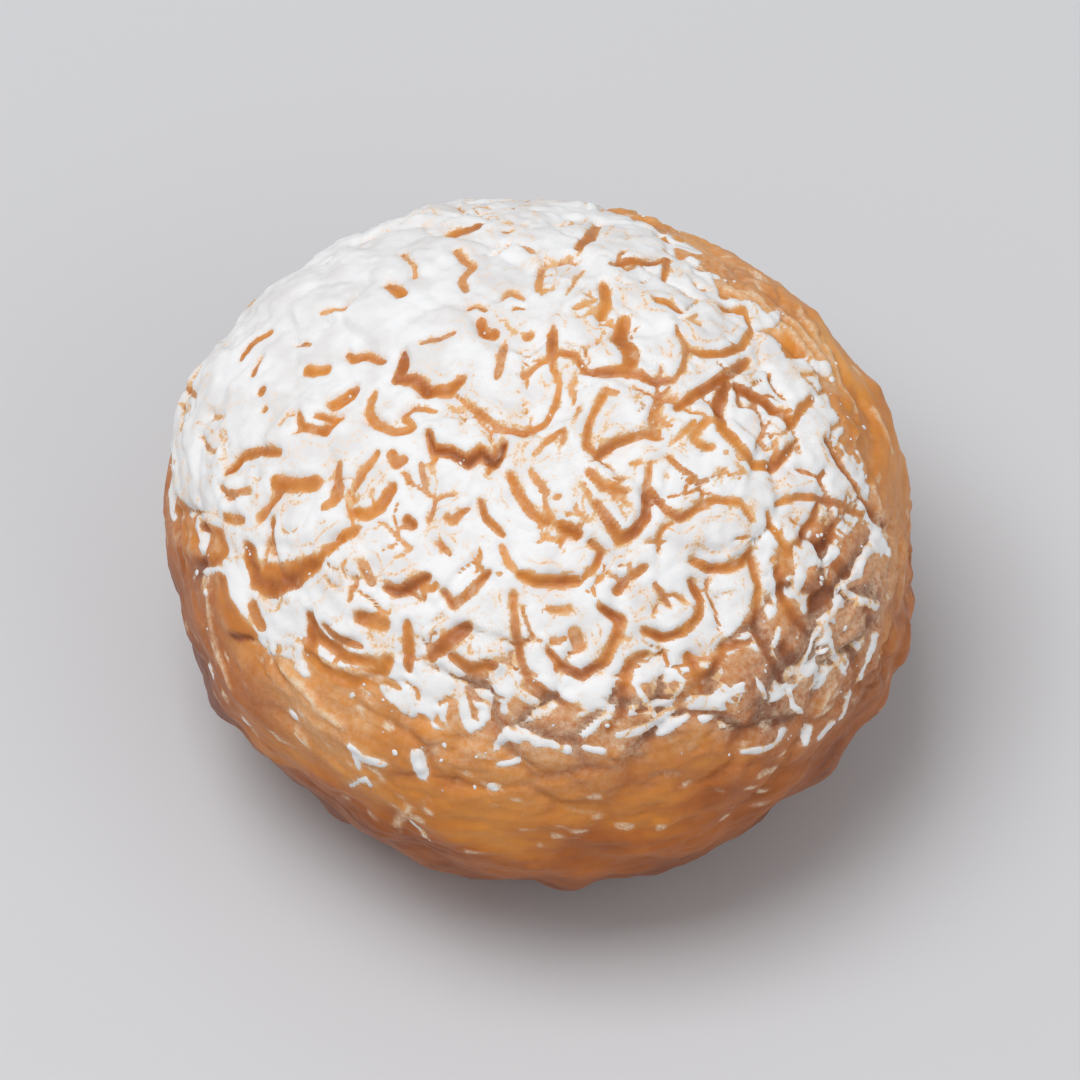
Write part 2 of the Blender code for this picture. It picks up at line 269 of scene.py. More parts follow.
# Open cracks between the plates, where the sugar has fallen away: path, width, depth, how bare
CRACKS: tuple[Mark, ...] = (
    Mark((-10.1, 17.3, -9.7, 17, -9.3, 16.6), 1.05, 0.4),
    Mark((-15.7, 11.6, -15.1, 11.5, -14.4, 11.6), 0.96, 0.35),
    Mark((-13, 12.7, -12.5, 12.3, -11.6, 12.6, -10.7, 12.3), 0.82, 0.3, 0.9),
    Mark((-9.3, 12.7, -9.2, 11.8, -9.5, 11.1), 0.96, 0.35, 0.9),
    Mark((-9.8, 11.1, -8.6, 11, -7.5, 10.3, -6.2, 10.3, -5.4, 11), 1.3, 0.5),
    Mark((-5.8, 10, -4.5, 9, -2.9, 8, -1.2, 7.5, 0.1, 8.1, 0.9, 9.4, 1.2, 10.7, 0.8, 12), 0.52, 0.3, 0.9),
    Mark((-7.2, 9, -8.6, 9.1, -9.2, 8.5, -8.6, 7.9), 0.68, 0.2, 0.7),
    Mark((-8.6, 7.7, -9.9, 7.6, -11.1, 8.2, -11.7, 8.7, -11.2, 10.1), 0.96, 0.25, 0.7),
    Mark((-12.5, 10.6, -12.9, 10, -14.2, 9.3), 1.05, 0.35, 0.9),
    Mark((-16.3, 8.7, -16, 7.9, -14.7, 7.7, -13.6, 8.4, -15.1, 8.6), 0.77, 0.25, 0.9),
    Mark((-21.3, 4.9, -20, 5.8, -18.7, 6.4, -17.5, 6.2), 0.77, 0.4),
    Mark((-17.7, 4.2, -16.3, 4.1, -15.3, 4.1), 1.5, 0.3, 0.9),
    Mark((-17.5, 3.9, -18.2, 2.8, -18.9, 1.8), 0.96, 0.25, 0.8),
    Mark((-13.5, 5.4, -13.8, 3.9, -13.8, 3, -14.7, 2.5), 0.96, 0.2, 0.7),
    Mark((-11.1, 6.1, -11.9, 4.9, -12.7, 3.7), 0.77, 0.25, 0.8),
    Mark((-12.8, 2.2, -11.7, 2, -10.7, 2.5, -10, 4), 1.05, 0.4),
    Mark((-10, 6.1, -9.7, 5.4, -9.3, 5.7), 0.96, 0.25, 0.8),
    Mark((-8.9, 1.6, -8.7, 1.5), 0.92, 0.4),
    Mark((-6.4, 1.8, -5.9, 1.5, -4.9, 2.5), 0.63, 0.3, 0.8),
    Mark((-7.6, 7.5, -7.2, 6.5, -6.1, 6.2, -5.1, 5.6, -4.2, 6.2, -3.1, 5.5, -2.4, 6.8), 1, 0.8),
    Mark((-2.3, 4.9, -1.7, 3.5, -0.8, 2.2, 0.3, 1.4), 0.85, 0.4, 0.9),
    Mark((-4.2, 3, -3.7, 1.8, -2.6, 0.7), 0.66, 0.35, 0.9),
    Mark((-0.5, 6.1, 0.6, 7.2, 1.3, 7.7, 1.5, 6.8), 0.55, 0.25, 0.7),
    Mark((-8, 5.4, -7.9, 3.8), 0.57, 0.15, 0.5),
    Mark((-4.2, 15, -4, 14.3, -3.2, 14.1), 0.91, 0.35),
    Mark((-1, 13.8, -0.7, 13.8), 0.74, 0.3, 0.9),
    Mark((0.6, 14.6, 0.7, 13.3, 0.6, 12.3), 0.89, 0.5),
    Mark((-8.2, 13.5, -7.1, 13.7, -5.9, 14.2), 0.62, 0.15, 0.5),
    Mark((-6, 20.7, -4.9, 21, -4.1, 21.3), 1.44, 0.3, 0.9),
    Mark((-5.8, 19.6, -4.6, 18.6, -5.4, 17.5, -5.1, 16.8), 0.86, 0.2, 0.6),
    Mark((0, 18.5, -0.2, 16.9), 0.7, 0.25, 0.7),
    Mark((-20.1, 12.5, -19.5, 13.3, -18.1, 14.1), 0.82, 0.25, 0.8),
    Mark((-19.2, 11.4, -18.8, 12.4), 0.72, 0.2, 0.7),
    Mark((-18.9, 10.3, -18.7, 10.3), 0.82, 0.25, 0.8),
    Mark((-18.5, 8.9, -18.4, 8.9), 0.72, 0.2, 0.7),
    Mark((-12.6, 16.5, -13.2, 15.8, -14.9, 15.6), 0.62, 0.15, 0.5),
    Mark((-21.2, 1.7, -20, 1.7), 0.74, 0.3, 0.8),
    Mark((-21.7, 3.9, -20.9, 3.3, -19.6, 3.7), 0.72, 0.2, 0.6),
    Mark((-1.5, 20.1, -0.5, 19.4), 0.48, 0.1, 0.3),
    Mark((3.7, 21.5, 3.1, 20.5, 2.4, 19.7), 1, 0.35, 0.8),
    Mark((2.7, 18.3, 1.7, 16.7), 0.48, 0.15, 0.4),
    Mark((4.2, 17.5, 4.2, 16.1, 3.9, 15.2), 0.92, 0.45),
    Mark((2.2, 15.8, 3.3, 16.2), 0.63, 0.25, 0.6),
    Mark((4.6, 18.5, 5.8, 19, 7.3, 18.9, 8.3, 19, 8.1, 17.7), 0.66, 0.35, 0.9),
    Mark((7.6, 16.4, 8.4, 16.1, 9.4, 15.7), 0.77, 0.4),
    Mark((5.6, 15.1, 5.2, 13.8, 6, 12.7, 5.8, 11.6), 1.4, 0.45),
    Mark((1, 13, 2.1, 12.7, 3, 11.8, 4.5, 11.5, 6, 11.5, 7.3, 11.1, 8.6, 11), 0.7, 0.45),
    Mark((8.7, 11, 9.5, 11.8, 9.7, 13.1, 9.1, 14.5), 0.59, 0.25, 0.6),
    Mark((9.7, 13.1, 10.6, 12.8, 12.1, 12.7, 13.3, 13.2, 13.9, 14.3, 13.4, 15.5, 12, 15.8), 0.7, 0.35, 0.9),
    Mark((13.8, 12.4, 12.6, 11.5, 11.9, 10.9, 10.4, 10.3, 8.9, 9.3), 0.89, 0.4),
    Mark((12.3, 10.8, 11.7, 9.4, 12.1, 7.9, 13, 6.6), 1.18, 0.45),
    Mark((13, 6.6, 14.1, 5.4, 15.6, 5.3, 16.7, 6.7), 0.85, 0.45),
    Mark((13, 10.6, 14.3, 9.8, 15.6, 8.9, 16.6, 8), 1, 0.45),
    Mark((16.6, 8, 17.3, 9.1, 18.2, 9.9), 0.74, 0.35, 0.9),
    Mark((18.9, 7.1, 20, 5.5, 20.9, 3.9, 21.8, 2.3, 23.1, 1.3), 0.74, 0.6),
    Mark((15.6, 2.8, 16.9, 3.2, 18.3, 3, 20, 2.6, 21.5, 2), 0.59, 0.3, 0.8),
    Mark((15.1, 2.1, 15.7, 0.6, 16.5, -0.4, 17.4, 0.4, 18, 1.7, 18.3, 2.8), 0.74, 0.4, 0.9),
    Mark((19.7, 1.5, 19.3, 0.7, 18.5, -0.3), 1.22, 0.45),
    Mark((19.4, -1.1, 20.3, -1.7), 1.48, 0.45),
    Mark((7.2, 5.4, 7.1, 3.9, 8.2, 2.4, 9.2, 1.8, 10.3, 2.4, 11.5, 3, 13.2, 2.9, 14.1, 1.7), 0.59, 0.4, 0.9),
    Mark((3.1, 5, 3.9, 4.1, 5.5, 3.6), 0.74, 0.35, 0.9),
    Mark((3.6, 2.7, 4.5, 1.7, 5.2, 0.4, 6.2, 1, 6.9, 2, 7.1, 3.4), 0.92, 0.4, 0.9),
    Mark((1.2, 1.4, 2.4, 0.7), 0.89, 0.4),
    Mark((0.9, 3.3, 1.1, 3.3), 0.55, 0.15, 0.5),
    Mark((-0.8, 4.9, 0.3, 3.5), 0.48, 0.2, 0.6),
    Mark((4.2, 10.4, 5, 10.1), 0.59, 0.2, 0.5),
    Mark((4.1, 10.1, 3.3, 8.3, 2.9, 6.8, 3.5, 6.1, 4.9, 6.8, 6.8, 7.5, 7.9, 7.1), 0.63, 0.4, 0.9),
    Mark((8.6, 10.7, 7.7, 9.8, 7.3, 8.3, 7.6, 7.4), 0.52, 0.2, 0.6),
    Mark((10.8, 8.3, 10.1, 7.3, 10.5, 6.6, 11.4, 6.6), 0.63, 0.3, 0.8),
    Mark((8.6, 5.8, 9.3, 5, 10.2, 4.5), 0.55, 0.25, 0.7),
    Mark((-1.6, -2, -0.3, -2.5, 1.4, -2.5, 2.5, -2.3), 1.07, 0.55),
    Mark((2.5, -2.3, 3.6, -1.5, 3.9, -0.4, 3.3, 0.4), 0.63, 0.4, 0.9),
    Mark((6.7, -5.8, 8.2, -6.1, 9.5, -5.8, 10.4, -4.8, 10.6, -3.7, 9.9, -2.4), 0.81, 0.5),
    Mark((7.4, -2.5, 8.6, -4), 0.52, 0.25, 0.7),
    Mark((10, -1, 11, -1.6, 12.3, -1.5, 13.4, -1.2, 14.1, -0.3), 0.77, 0.45),
    Mark((6.8, -1.4, 6.1, -1.9), 0.7, 0.3, 0.8),
    Mark((5.5, -2.5, 4.9, -2.9), 0.74, 0.3, 0.8),
    Mark((4.1, -4.2, 5.2, -5.1, 4.8, -6.5, 4.1, -7.7, 2.7, -8.7, 1.3, -8.1, 0.4, -7.1), 0.92, 0.5),
    Mark((2.1, -5.8, 2.5, -6.8), 1.25, 0.3, 0.5),
    Mark((0.6, -4.2, 1.8, -4.3), 0.63, 0.2, 0.6),
    Mark((-2, -3.4, -1.8, -5.7, -1.5, -7.6, -0.8, -9, 0.3, -9.9, 1.4, -10.5), 0.7, 0.35, 0.8),
    Mark((7, -7.1, 5.9, -7.9, 5.6, -9.4, 5.4, -11.3, 4.4, -12.5), 0.96, 0.4),
    Mark((6.5, -11.1, 7.8, -10.4, 9.3, -10), 0.63, 0.35),
    Mark((9.7, -7.3, 10.5, -8.9, 11.4, -8.5, 12.2, -7, 13.1, -6.6), 0.89, 0.35, 0.9),
    Mark((14, -0.3, 14.4, -2.8, 14.3, -5.4, 15, -7.6, 16.1, -9.3), 0.7, 0.35, 0.9),
    Mark((15.8, -1.7, 16, -3.5, 16.9, -5, 17.9, -6), 1.03, 0.4),
    Mark((18.2, -3.9, 19.3, -3.1), 1.85, 0.4),
    Mark((21.5, -4.2, 22.1, -5.2), 1.18, 0.5),
    Mark((16.1, -6.8, 16.8, -7.6), 1.4, 0.35),
    Mark((20.6, -6.8, 21.1, -7.9, 20.9, -9.4), 0.96, 0.4),
    Mark((-19.7, -0.3, -19.1, -2.4, -18, -2.8, -16.5, -2, -15.2, -1.1), 1.92, 0.5),
    Mark((-15.2, -1.1, -13.9, 0, -12.7, 1.1), 0.81, 0.4),
    Mark((-18.1, 1.7, -18, -0.6), 0.81, 0.3, 0.9),
    Mark((-22.8, 1.3, -21.5, 0.6, -21.1, -0.4, -22.1, -1.2, -23.9, -1.1), 1.03, 0.3),
    Mark((-20.8, -6.1, -19.6, -6.2), 0.81, 0.7),
    Mark((-12, -1.3, -11.6, -2.4), 0.96, 0.2, 0.5),
    Mark((-10.6, -2.8, -9.7, -3.1, -8.6, -2.7, -7.7, -2), 1.03, 0.65),
    Mark((-12.3, -4.8, -11.2, -5.1, -10.5, -5.2), 1.25, 0.3, 0.8),
    Mark((-6.6, -3.1, -5.9, -4, -5.1, -3.4, -3.5, -1.9), 0.74, 0.5),
    Mark((-9, -5.1, -9, -8.4), 0.89, 0.35, 0.9),
    Mark((-5.1, -5.5, -6.2, -6.1, -7.4, -7.5), 1.4, 0.45),
    Mark((-6.2, -7.3, -4.9, -8.3, -3.1, -8), 0.89, 0.4),
    Mark((-6.9, 0.3, -6.2, -0.7), 0.59, 0.2, 0.6),
    Mark((-2.7, 0.1, -2.2, -1.1, -1.6, -2), 0.7, 0.25, 0.6),
    Mark((-15.4, -5.3, -15.4, -7.4, -14.3, -8.6, -12.7, -9.1, -11, -8.7, -10.4, -7.7), 1.55, 0.4),
    Mark((-23.4, 10.4, -23.1, 9.9), 0.6, 0.2, 0.8),
    Mark((-23, 7.3, -22.4, 6.6, -21.8, 6.1), 0.5, 0.15, 0.6),
    Mark((-2.9, 16.4, -2, 17, -1.2, 16.6), 0.55, 0.2, 0.7),
    Mark((-2.6, 13.4, -2.8, 12.2, -2.9, 11.2), 0.8, 0.15, 0.5),
    Mark((-11.6, 20.2, -10.6, 20.4), 0.5, 0.15, 0.5),
    Mark((-9.3, 19.3, -8.6, 18.5, -8.5, 17.9), 0.5, 0.15, 0.5),
    Mark((-16.6, 13.4, -15.5, 13.3), 0.45, 0.15, 0.5),
    Mark((-21.4, -2.4, -21.1, -3.8, -20.3, -5.2, -19.3, -6), 1.9, 0.25),
    Mark((-19.4, -4.1, -18.8, -5.4), 1, 0.2, 0.8),
    Mark((-15.7, -4.7, -14.8, -6.3, -13.2, -7.4, -11.2, -7.9), 1, 0.3),
    Mark((-14.6, -5.4, -13.5, -6.4, -12, -6.9), 0.55, 0.2, 0.8),
    Mark((-18.3, -1.6, -17.2, -2.2, -16.2, -1.4), 1.5, 0.25),
)

# Dabs of sugar on the bare crust: path, width
DABS: tuple[Mark, ...] = (
    Mark((20.1, -3.4, 18.9, -5.5, 17.8, -7.4, 16.8, -9.5), 0.55),
    Mark((18.9, -5.5, 19.6, -7.2, 20.3, -8.6), 0.52),
    Mark((22.3, -6.1, 21.8, -7.6), 0.95),
    Mark((21.5, -8.2, 21.3, -8.9), 0.7),
    Mark((20.5, -10.1, 20, -11.3), 1.15),
    Mark((19.4, -12, 18.5, -12.7), 1),
    Mark((17.9, -12.4, 17.5, -13.2), 0.6),
    Mark((10.1, -10.5, 11.2, -10.6), 1.33),
    Mark((4.9, -12.8, 6.7, -12.4, 8.9, -11.1), 0.81),
    Mark((2.8, -13.5, 4.1, -13.8), 0.55),
    Mark((15.7, -12.9, 16.2, -12.5), 0.74),
    Mark((15.1, -0.7, 15.3, -3), 0.52),
    Mark((15.8, -5.6, 15.4, -6.6), 0.59),
    Mark((-18.9, -6.4, -18.7, -6.6), 0.81),
    Mark((-19.8, -11.7, -19.7, -11.9), 0.85),
    Mark((-17, -11.4, -16.8, -11.5), 0.7),
    Mark((-12.9, -10.1, -12.7, -10.1), 0.52),
    Mark((-12.8, -13.4, -11.9, -14.3, -10.7, -14.7), 0.95),
    Mark((-12.6, -13.6, -12.2, -14.9), 0.7),
    Mark((-12.8, -16.1, -11.7, -15.6, -11.4, -16.2), 0.52),
    Mark((-8.4, -14, -8, -15.3), 1.11),
    Mark((-10.7, -9.7, -9.5, -10.3, -8.6, -11.3), 1.25),
    Mark((-5.5, -9.6, -5.2, -11.3, -4.8, -12.4), 1.03),
    Mark((-3.2, -13.7, -2.3, -12.5, -1.5, -13.1), 0.74),
    Mark((-2.9, -14.6, -1.6, -14.4), 0.55),
    Mark((-3.5, -16.1, -3.2, -16.2), 0.74),
    Mark((-6.8, -7.7, -6.6, -8.7), 0.81),
    Mark((-2.1, -9.6, -0.3, -10.5), 0.96),
    Mark((13.4, -9.4, 13, -10.7), 0.48),
    Mark((14.3, -8.9, 15, -10.3), 0.48),
    Mark((12.3, -9.4, 12.5, -10.5), 0.44),
    Mark((6.3, -9.2, 7.4, -7.9, 9.3, -9.1, 8.7, -10.5, 7.1, -10.7, 6.3, -9.4), 0.5),
    Mark((17, -0.3, 17.3, -1.7, 17, -3, 17.5, -4.4), 0.95),
    Mark((14.3, -0.3, 15.4, -2.2, 15.7, -3.8), 0.6),
    Mark((19.7, -0.3, 19.1, -1.1), 0.75),
    Mark((16.5, -9.4, 16.7, -10.8, 17.5, -11.3), 0.48),
    Mark((15.9, -12.9, 14.9, -13.5, 13.5, -13.9), 0.55),
    Mark((11.7, -10.4, 13.3, -9.4), 0.8),
    Mark((20.2, -3, 21.3, -3.5, 22.3, -4.3), 0.42),
    Mark((18, -9.6, 18.6, -8.9, 18.2, -8.2), 0.42),
    Mark((2.4, -11.3, 3.6, -10.6, 4.8, -10.9), 0.6),
    Mark((-7.5, -10.4, -6.6, -11.6), 0.55),
    Mark((-22.8, -1.8, -20.2, -1.4), 0.6),
    Mark((-22.3, -8, -22, -8.9), 0.5),
    Mark((-19.2, -14.7, -19, -15), 0.7),
    Mark((-16.6, -12.6, -15.9, -13.4), 0.42),
    Mark((-8.7, -18.3, -7.9, -19.2, -7.6, -19.9), 0.42),
    Mark((-16.4, -8, -15.9, -8.6), 0.6),
)

# Thin raised folds of the skin: path, width
FOLDS: tuple[Mark, ...] = (
    Mark((9.8, 19.1, 12.7, 17, 15.9, 14.3), 0.55),
    Mark((15.9, 15.7, 18.1, 13.3, 19.9, 10.6), 0.42),
    Mark((18.3, 6.9, 19.7, 5, 21.5, 2.3), 0.45),
    Mark((22.1, 9, 22.6, 7.7, 23.1, 6.1), 0.38),
    Mark((-17.6, -8.1, -16.2, -9.4, -14.7, -10.9, -13.5, -12.1), 0.52),
    Mark((-22.5, -2, -22.4, -4.2, -21.9, -6.8, -20.8, -9.4), 0.52),
    Mark((-8.8, -17.3, -9.2, -18.1, -9.7, -18.6), 0.44),
    Mark((-16.5, -12.4, -15.7, -13.5), 0.37),
    Mark((15.2, 17.5, 17.4, 15.3, 19.6, 12, 20.9, 9), 0.44),
    Mark((13.7, 17, 16.1, 14.8, 18.2, 12), 0.41),
    Mark((10.4, 18.3, 12.3, 17, 14.1, 16.4), 0.44),
    Mark((22.2, 3.9, 23, 0.9, 23.1, -2), 0.41),
    Mark((17.4, -9.4, 18.3, -7.9, 19.4, -9.4, 18.5, -11.3), 0.44),
    Mark((-14.5, -7.7, -13.2, -8.2, -11.7, -8.5), 0.37),
)


@dataclass(frozen=True)
class Patch:
    """Round patch of the crust: its middle in degrees, its spread in millimetres and an amount."""

    azimuth: float
    latitude: float
    spread: float
    amount: float

    def share(self, unit: np.ndarray) -> np.ndarray:
        """Amount of the patch at these unit vectors, fading out from its middle."""
        away = np.linalg.norm(unit - heading_of(self.azimuth, self.latitude), axis=1) * RADIUS
        return self.amount * np.exp(-((away / self.spread) ** 2))


@dataclass(frozen=True)
class BunForm:
    """Smooth form of the bun and its slow unevenness, in millimetres, as the solid has them."""

    width: float = 50.0
    depth: float = 49.0
    height: float = 34.0
    girth_height: float = 15.0
    bowl_depth: float = 16.3
    profile_power: float = 2.25
    lumps: tuple[tuple[float, float], ...] = ((30.0, 0.22), (12.0, 0.16))
    swells: tuple[Patch, ...] = (
        Patch(155.0, 22.0, 13.0, 1.15),
        Patch(49.0, 30.0, 10.0, -0.55),
        Patch(-135.0, -8.0, 10.0, -0.25),
        Patch(-28.0, -4.0, 6.0, 0.60),
    )
    wrinkle_count: int = 19
    wrinkle_depth: float = 0.16

    def surface(self, unit: np.ndarray) -> tuple[np.ndarray, np.ndarray]:
        """Points on the smooth bun and the outward directions there.

        Args:
            unit: Unit vectors, one row each.

        Returns:
            Points in millimetres about the girth's centre, and outward unit vectors.
        """
        power = self.profile_power
        ring = np.hypot(unit[:, 0], unit[:, 1])
        reach = (ring**power + np.abs(unit[:, 2]) ** power) ** (-1.0 / power)
        rise = np.where(unit[:, 2] > 0.0, self.height - self.girth_height, self.bowl_depth)
        level = np.full((len(unit), 2), (self.width / 2.0, self.depth / 2.0))
        half = np.column_stack([level, rise])
        outward = unit / half
        return unit * reach[:, None] * half, outward / np.linalg.norm(outward, axis=1, keepdims=True)

    def unevenness(self, unit: np.ndarray) -> np.ndarray:
        """Slow lumps, fuller and flatter sides, and the soft upright wrinkles of the lower side.

        Args:
            unit: Unit vectors, one row each.

        Returns:
            Height in millimetres at each vector.
        """
        flat = unit * RADIUS
        azimuth = np.arctan2(unit[:, 1], unit[:, 0])
        sway = 0.8 * waves(flat, 16.0, SEED + 4)
        low = smoothstep(0.35, -0.15, unit[:, 2])
        height = self.wrinkle_depth * low * np.sin(self.wrinkle_count * azimuth + 2.5 * sway)
        for index, (length, amount) in enumerate(self.lumps):
            height += amount * waves(flat, length, SEED + 30 + index)
        for swell in self.swells:
            height += swell.share(unit)
        return height


@dataclass(frozen=True)
class Cells:
    """Cells of uneven level and tilt around random centres, in millimetres."""

    count: int
    # Random places that each centre is chosen from: the more of them, the more even the cells
    tries: int
    tilt: float
    step: float
    # Width over which neighbouring levels join
    blend: float
    # How far the borders bend, and over what length
    bend: float
    bend_length: float
    # Seeds of the centres, of the bends and of the levels
    seeds: tuple[int, int, int]

    def centres(self) -> np.ndarray:
        """Unit vectors of the cells' centres."""
        return open_places(self.count, self.tries, self.seeds[0])

    def lay(self, unit: np.ndarray) -> tuple[np.ndarray, np.ndarray, np.ndarray]:
        """Lay the cells on the crust.

        Args:
            unit: Unit vectors, one row each.

        Returns:
            Level and distance to the nearest border, in millimetres, and the direction across that border.
        """
        flat = unit * RADIUS
        bends = [waves(flat, self.bend_length, self.seeds[1] + axis) for axis in range(3)]
        places = flat + self.bend * np.stack(bends, axis=1)
        centres = self.centres() * RADIUS
        rng = np.random.default_rng(self.seeds[2])
        steps = rng.uniform(-1.0, 1.0, self.count) * self.step
        tilts = rng.normal(scale=self.tilt, size=centres.shape)
        near, reach = nearest_three(places, centres)
        weight = np.exp(-(reach**2 - reach[:, :1] ** 2) / self.blend**2)
        weight /= weight.sum(axis=1, keepdims=True)
        lean = ((places[:, None, :] - centres[near]) * tilts[near]).sum(axis=2)
        level = (weight * (steps[near] + lean)).sum(axis=1)
        across = centres[near[:, 1]] - centres[near[:, 0]]
        gap = np.linalg.norm(across, axis=1)
        return level, (reach[:, 1] ** 2 - reach[:, 0] ** 2) / (2.0 * gap), across / gap[:, None]


@dataclass(frozen=True)
class Crackle:
    """Plates of the crust as in the solid, but softer, and the small facets on them, in millimetres."""

    large: Cells = Cells(370, 14, 0.06, 0.22, 0.9, 0.45, 9.0, (SEED, SEED + 10, SEED + 20))
    crease_width: float = 1.15
    crease_depth: float = 0.38
    small: Cells = Cells(1500, 6, 0.07, 0.035, 0.35, 0.32, 2.4, (SEED + 5, SEED + 60, SEED + 25))
    facet_crease: float = 0.13
    facet_width: float = 0.34
    # Latitude in degrees where the crackle ends, which swings from side to side of the bun
    edge_latitude: float = 3.0
    edge_swing: float = 15.0
    edge_high_azimuth: float = -140.0
    edge_wave: float = 5.0
    edge_fade: float = 16.0
    smooth_crease: float = 0.10
    # Smooth patches: azimuth and latitude in degrees, size in millimetres
    smooth_patches: tuple[tuple[float, float, float], ...] = (
        (50.0, 30.0, 3.5),
        (27.0, 26.0, 4.5),
        (5.0, 20.0, 4.5),
        (-150.0, 24.0, 3.5),
    )

    def share(self, unit: np.ndarray) -> np.ndarray:
        """1 where the crust is crackled, falling to 0 on the smooth lower side and patches.

        Args:
            unit: Unit vectors, one row each.

        Returns:
            Share from 0 to 1 at each vector.
        """
        latitude = latitude_of(unit)
        azimuth = np.arctan2(unit[:, 1], unit[:, 0])
        swing = np.cos(azimuth - math.radians(self.edge_high_azimuth))
        waved = self.edge_wave * waves(unit * RADIUS, 9.0, SEED + 1)
        edge = self.edge_latitude + self.edge_swing * swing + waved
        share = smoothstep(edge - self.edge_fade / 2.0, edge + self.edge_fade / 2.0, latitude)
        for azimuth_at, latitude_at, size in self.smooth_patches:
            away = np.linalg.norm(unit - heading_of(azimuth_at, latitude_at), axis=1) * RADIUS
            share = share * smoothstep(0.65 * size, 1.2 * size, away)
        return share

    def plates(self, unit: np.ndarray) -> tuple[np.ndarray, np.ndarray, np.ndarray, np.ndarray]:
        """Large plates.

        Args:
            unit: Unit vectors, one row each.

        Returns:
            Level of the plates, depth of the creases between them and distance to the nearest crease,
            in millimetres, and the direction across that crease.
        """
        level, to_crease, across = self.large.lay(unit)
        fill = np.clip(1.0 - to_crease / self.crease_width, 0.0, 1.0)
        deep = np.clip(0.85 + 0.35 * waves(unit * RADIUS, 8.0, SEED + 2), 0.25, 1.3)
        return level, -self.crease_depth * deep * fill**1.6, to_crease, across

    def facets(self, unit: np.ndarray) -> tuple[np.ndarray, np.ndarray]:
        """Small facets on each plate.

        Args:
            unit: Unit vectors, one row each.

        Returns:
            Height in millimetres, and how much of a fine line there is, at each vector.
        """
        level, to_crease, _ = self.small.lay(unit)
        fill = np.clip(1.0 - to_crease / self.facet_width, 0.0, 1.0)
        fine = smoothstep(0.1, 1.1, waves(unit * RADIUS, 4.2, SEED + 6)) * fill
        return level - self.facet_crease * fine, fine


@dataclass(frozen=True)
class HiddenCracks:
    """Cracks around the plates that the front doesn't show: arcs below each plate's middle."""

    # The most that a hidden plate faces the camera, the least that it faces up, and the share that cracks
    facing: float = 0.10
    lowest: float = 0.10
    chance: float = 0.80
    # Least value and how much a draw can add to it: degrees for the first two, then millimetres and shares
    start: tuple[float, float] = (-115.0, 90.0)
    sweep: tuple[float, float] = (55.0, 130.0)
    reach: tuple[float, float] = (1.2, 0.8)
    wobble: tuple[float, float] = (0.86, 0.28)
    width: tuple[float, float] = (0.45, 0.65)
    depth: tuple[float, float] = (0.25, 0.30)
    bare: tuple[float, float] = (0.6, 0.4)
    seed: int = SEED + 100

    def lines(self, shell: "Shell") -> list["Line"]:
        """Arcs for the plates of the sides and the back.

        Args:
            shell: Shell of the bun.

        Returns:
            One line for each crack.
        """
        rng = np.random.default_rng(self.seed)
        centres = shell.crackle.large.centres()
        point, outward = shell.form.surface(centres)
        share = shell.crackle.share(centres)
        lines = []
        for middle, normal, there in zip(point, outward, share):
            draw = rng.random(12)
            if normal @ shell.sight > self.facing or normal[2] < self.lowest or draw[0] > self.chance * there:
                continue
            down = downhill(normal[None, :])[0]
            side = np.cross(normal, down)
            start = math.radians(drawn(self.start, draw[1]))
            sweep = math.radians(drawn(self.sweep, draw[2] ** 1.5))
            turns = start + sweep * np.linspace(0.0, 1.0, 5)
            away = drawn(self.reach, draw[3]) * drawn(self.wobble, draw[4:9])
            ring = np.cos(turns)[:, None] * down + np.sin(turns)[:, None] * side
            width = drawn(self.width, draw[9] ** 1.6)
            depth = drawn(self.depth, draw[10])
            lines.append(Line(middle + away[:, None] * ring, width, depth, drawn(self.bare, draw[11])))
        return lines


@dataclass(frozen=True)
class FineCracks:
    """Short fine cracks all over the crackle, finer and shallower than the open ones."""

    count: int = 760
    tries: int = 5
    # Least that a place faces the camera to count as seen, least that it faces up, and the share of places
    # that crack where they aren't seen and where they are
    facing: float = 0.10
    lowest: float = 0.05
    chance: float = 1.0
    chance_seen: float = 0.42
    # Share of the cracks that thick sugar hides, and how far a crack turns from level, in degrees
    hidden: float = 0.8
    lean: float = 80.0
    # Least value and how much a draw can add to it, in millimetres and shares
    length: tuple[float, float] = (0.7, 1.9)
    bow: tuple[float, float] = (-0.1, 0.55)
    width: tuple[float, float] = (0.22, 0.22)
    depth: tuple[float, float] = (0.16, 0.16)
    bare: tuple[float, float] = (0.25, 0.7)
    seed: int = SEED + 120

    def lines(self, shell: "Shell") -> list["Line"]:
        """Short arcs across the slope.

        Args:
            shell: Shell of the bun.

        Returns:
            One line for each crack.
        """
        rng = np.random.default_rng(self.seed)
        centres = open_places(self.count, self.tries, self.seed)
        point, outward = shell.form.surface(centres)
        share = shell.crackle.share(centres)
        thick = SugarCover().thick_share(centres)
        lines = []
        for middle, normal, there, under in zip(point, outward, share, thick):
            draw = rng.random(8)
            facing = normal @ shell.sight > self.facing
            chance = self.chance_seen if facing else self.chance
            if normal[2] < self.lowest or draw[0] > chance * there * (1.0 - self.hidden * under):
                continue
            down = downhill(normal[None, :])[0]
            side = np.cross(normal, down)
            lean = math.radians(self.lean) * (draw[1] - 0.5) * 2.0
            along = math.cos(lean) * side + math.sin(lean) * down
            across = np.cross(normal, along)
            length = drawn(self.length, draw[2] ** 1.5)
            run = np.linspace(-0.5, 0.5, 4)
            bow = length * drawn(self.bow, draw[3]) * (1.0 - 4.0 * run**2)
            path = middle + run[:, None] * length * along + bow[:, None] * across
            width, depth = drawn(self.width, draw[4]), drawn(self.depth, draw[5])
            lines.append(Line(path, width, depth, drawn(self.bare, draw[6])))
        return lines


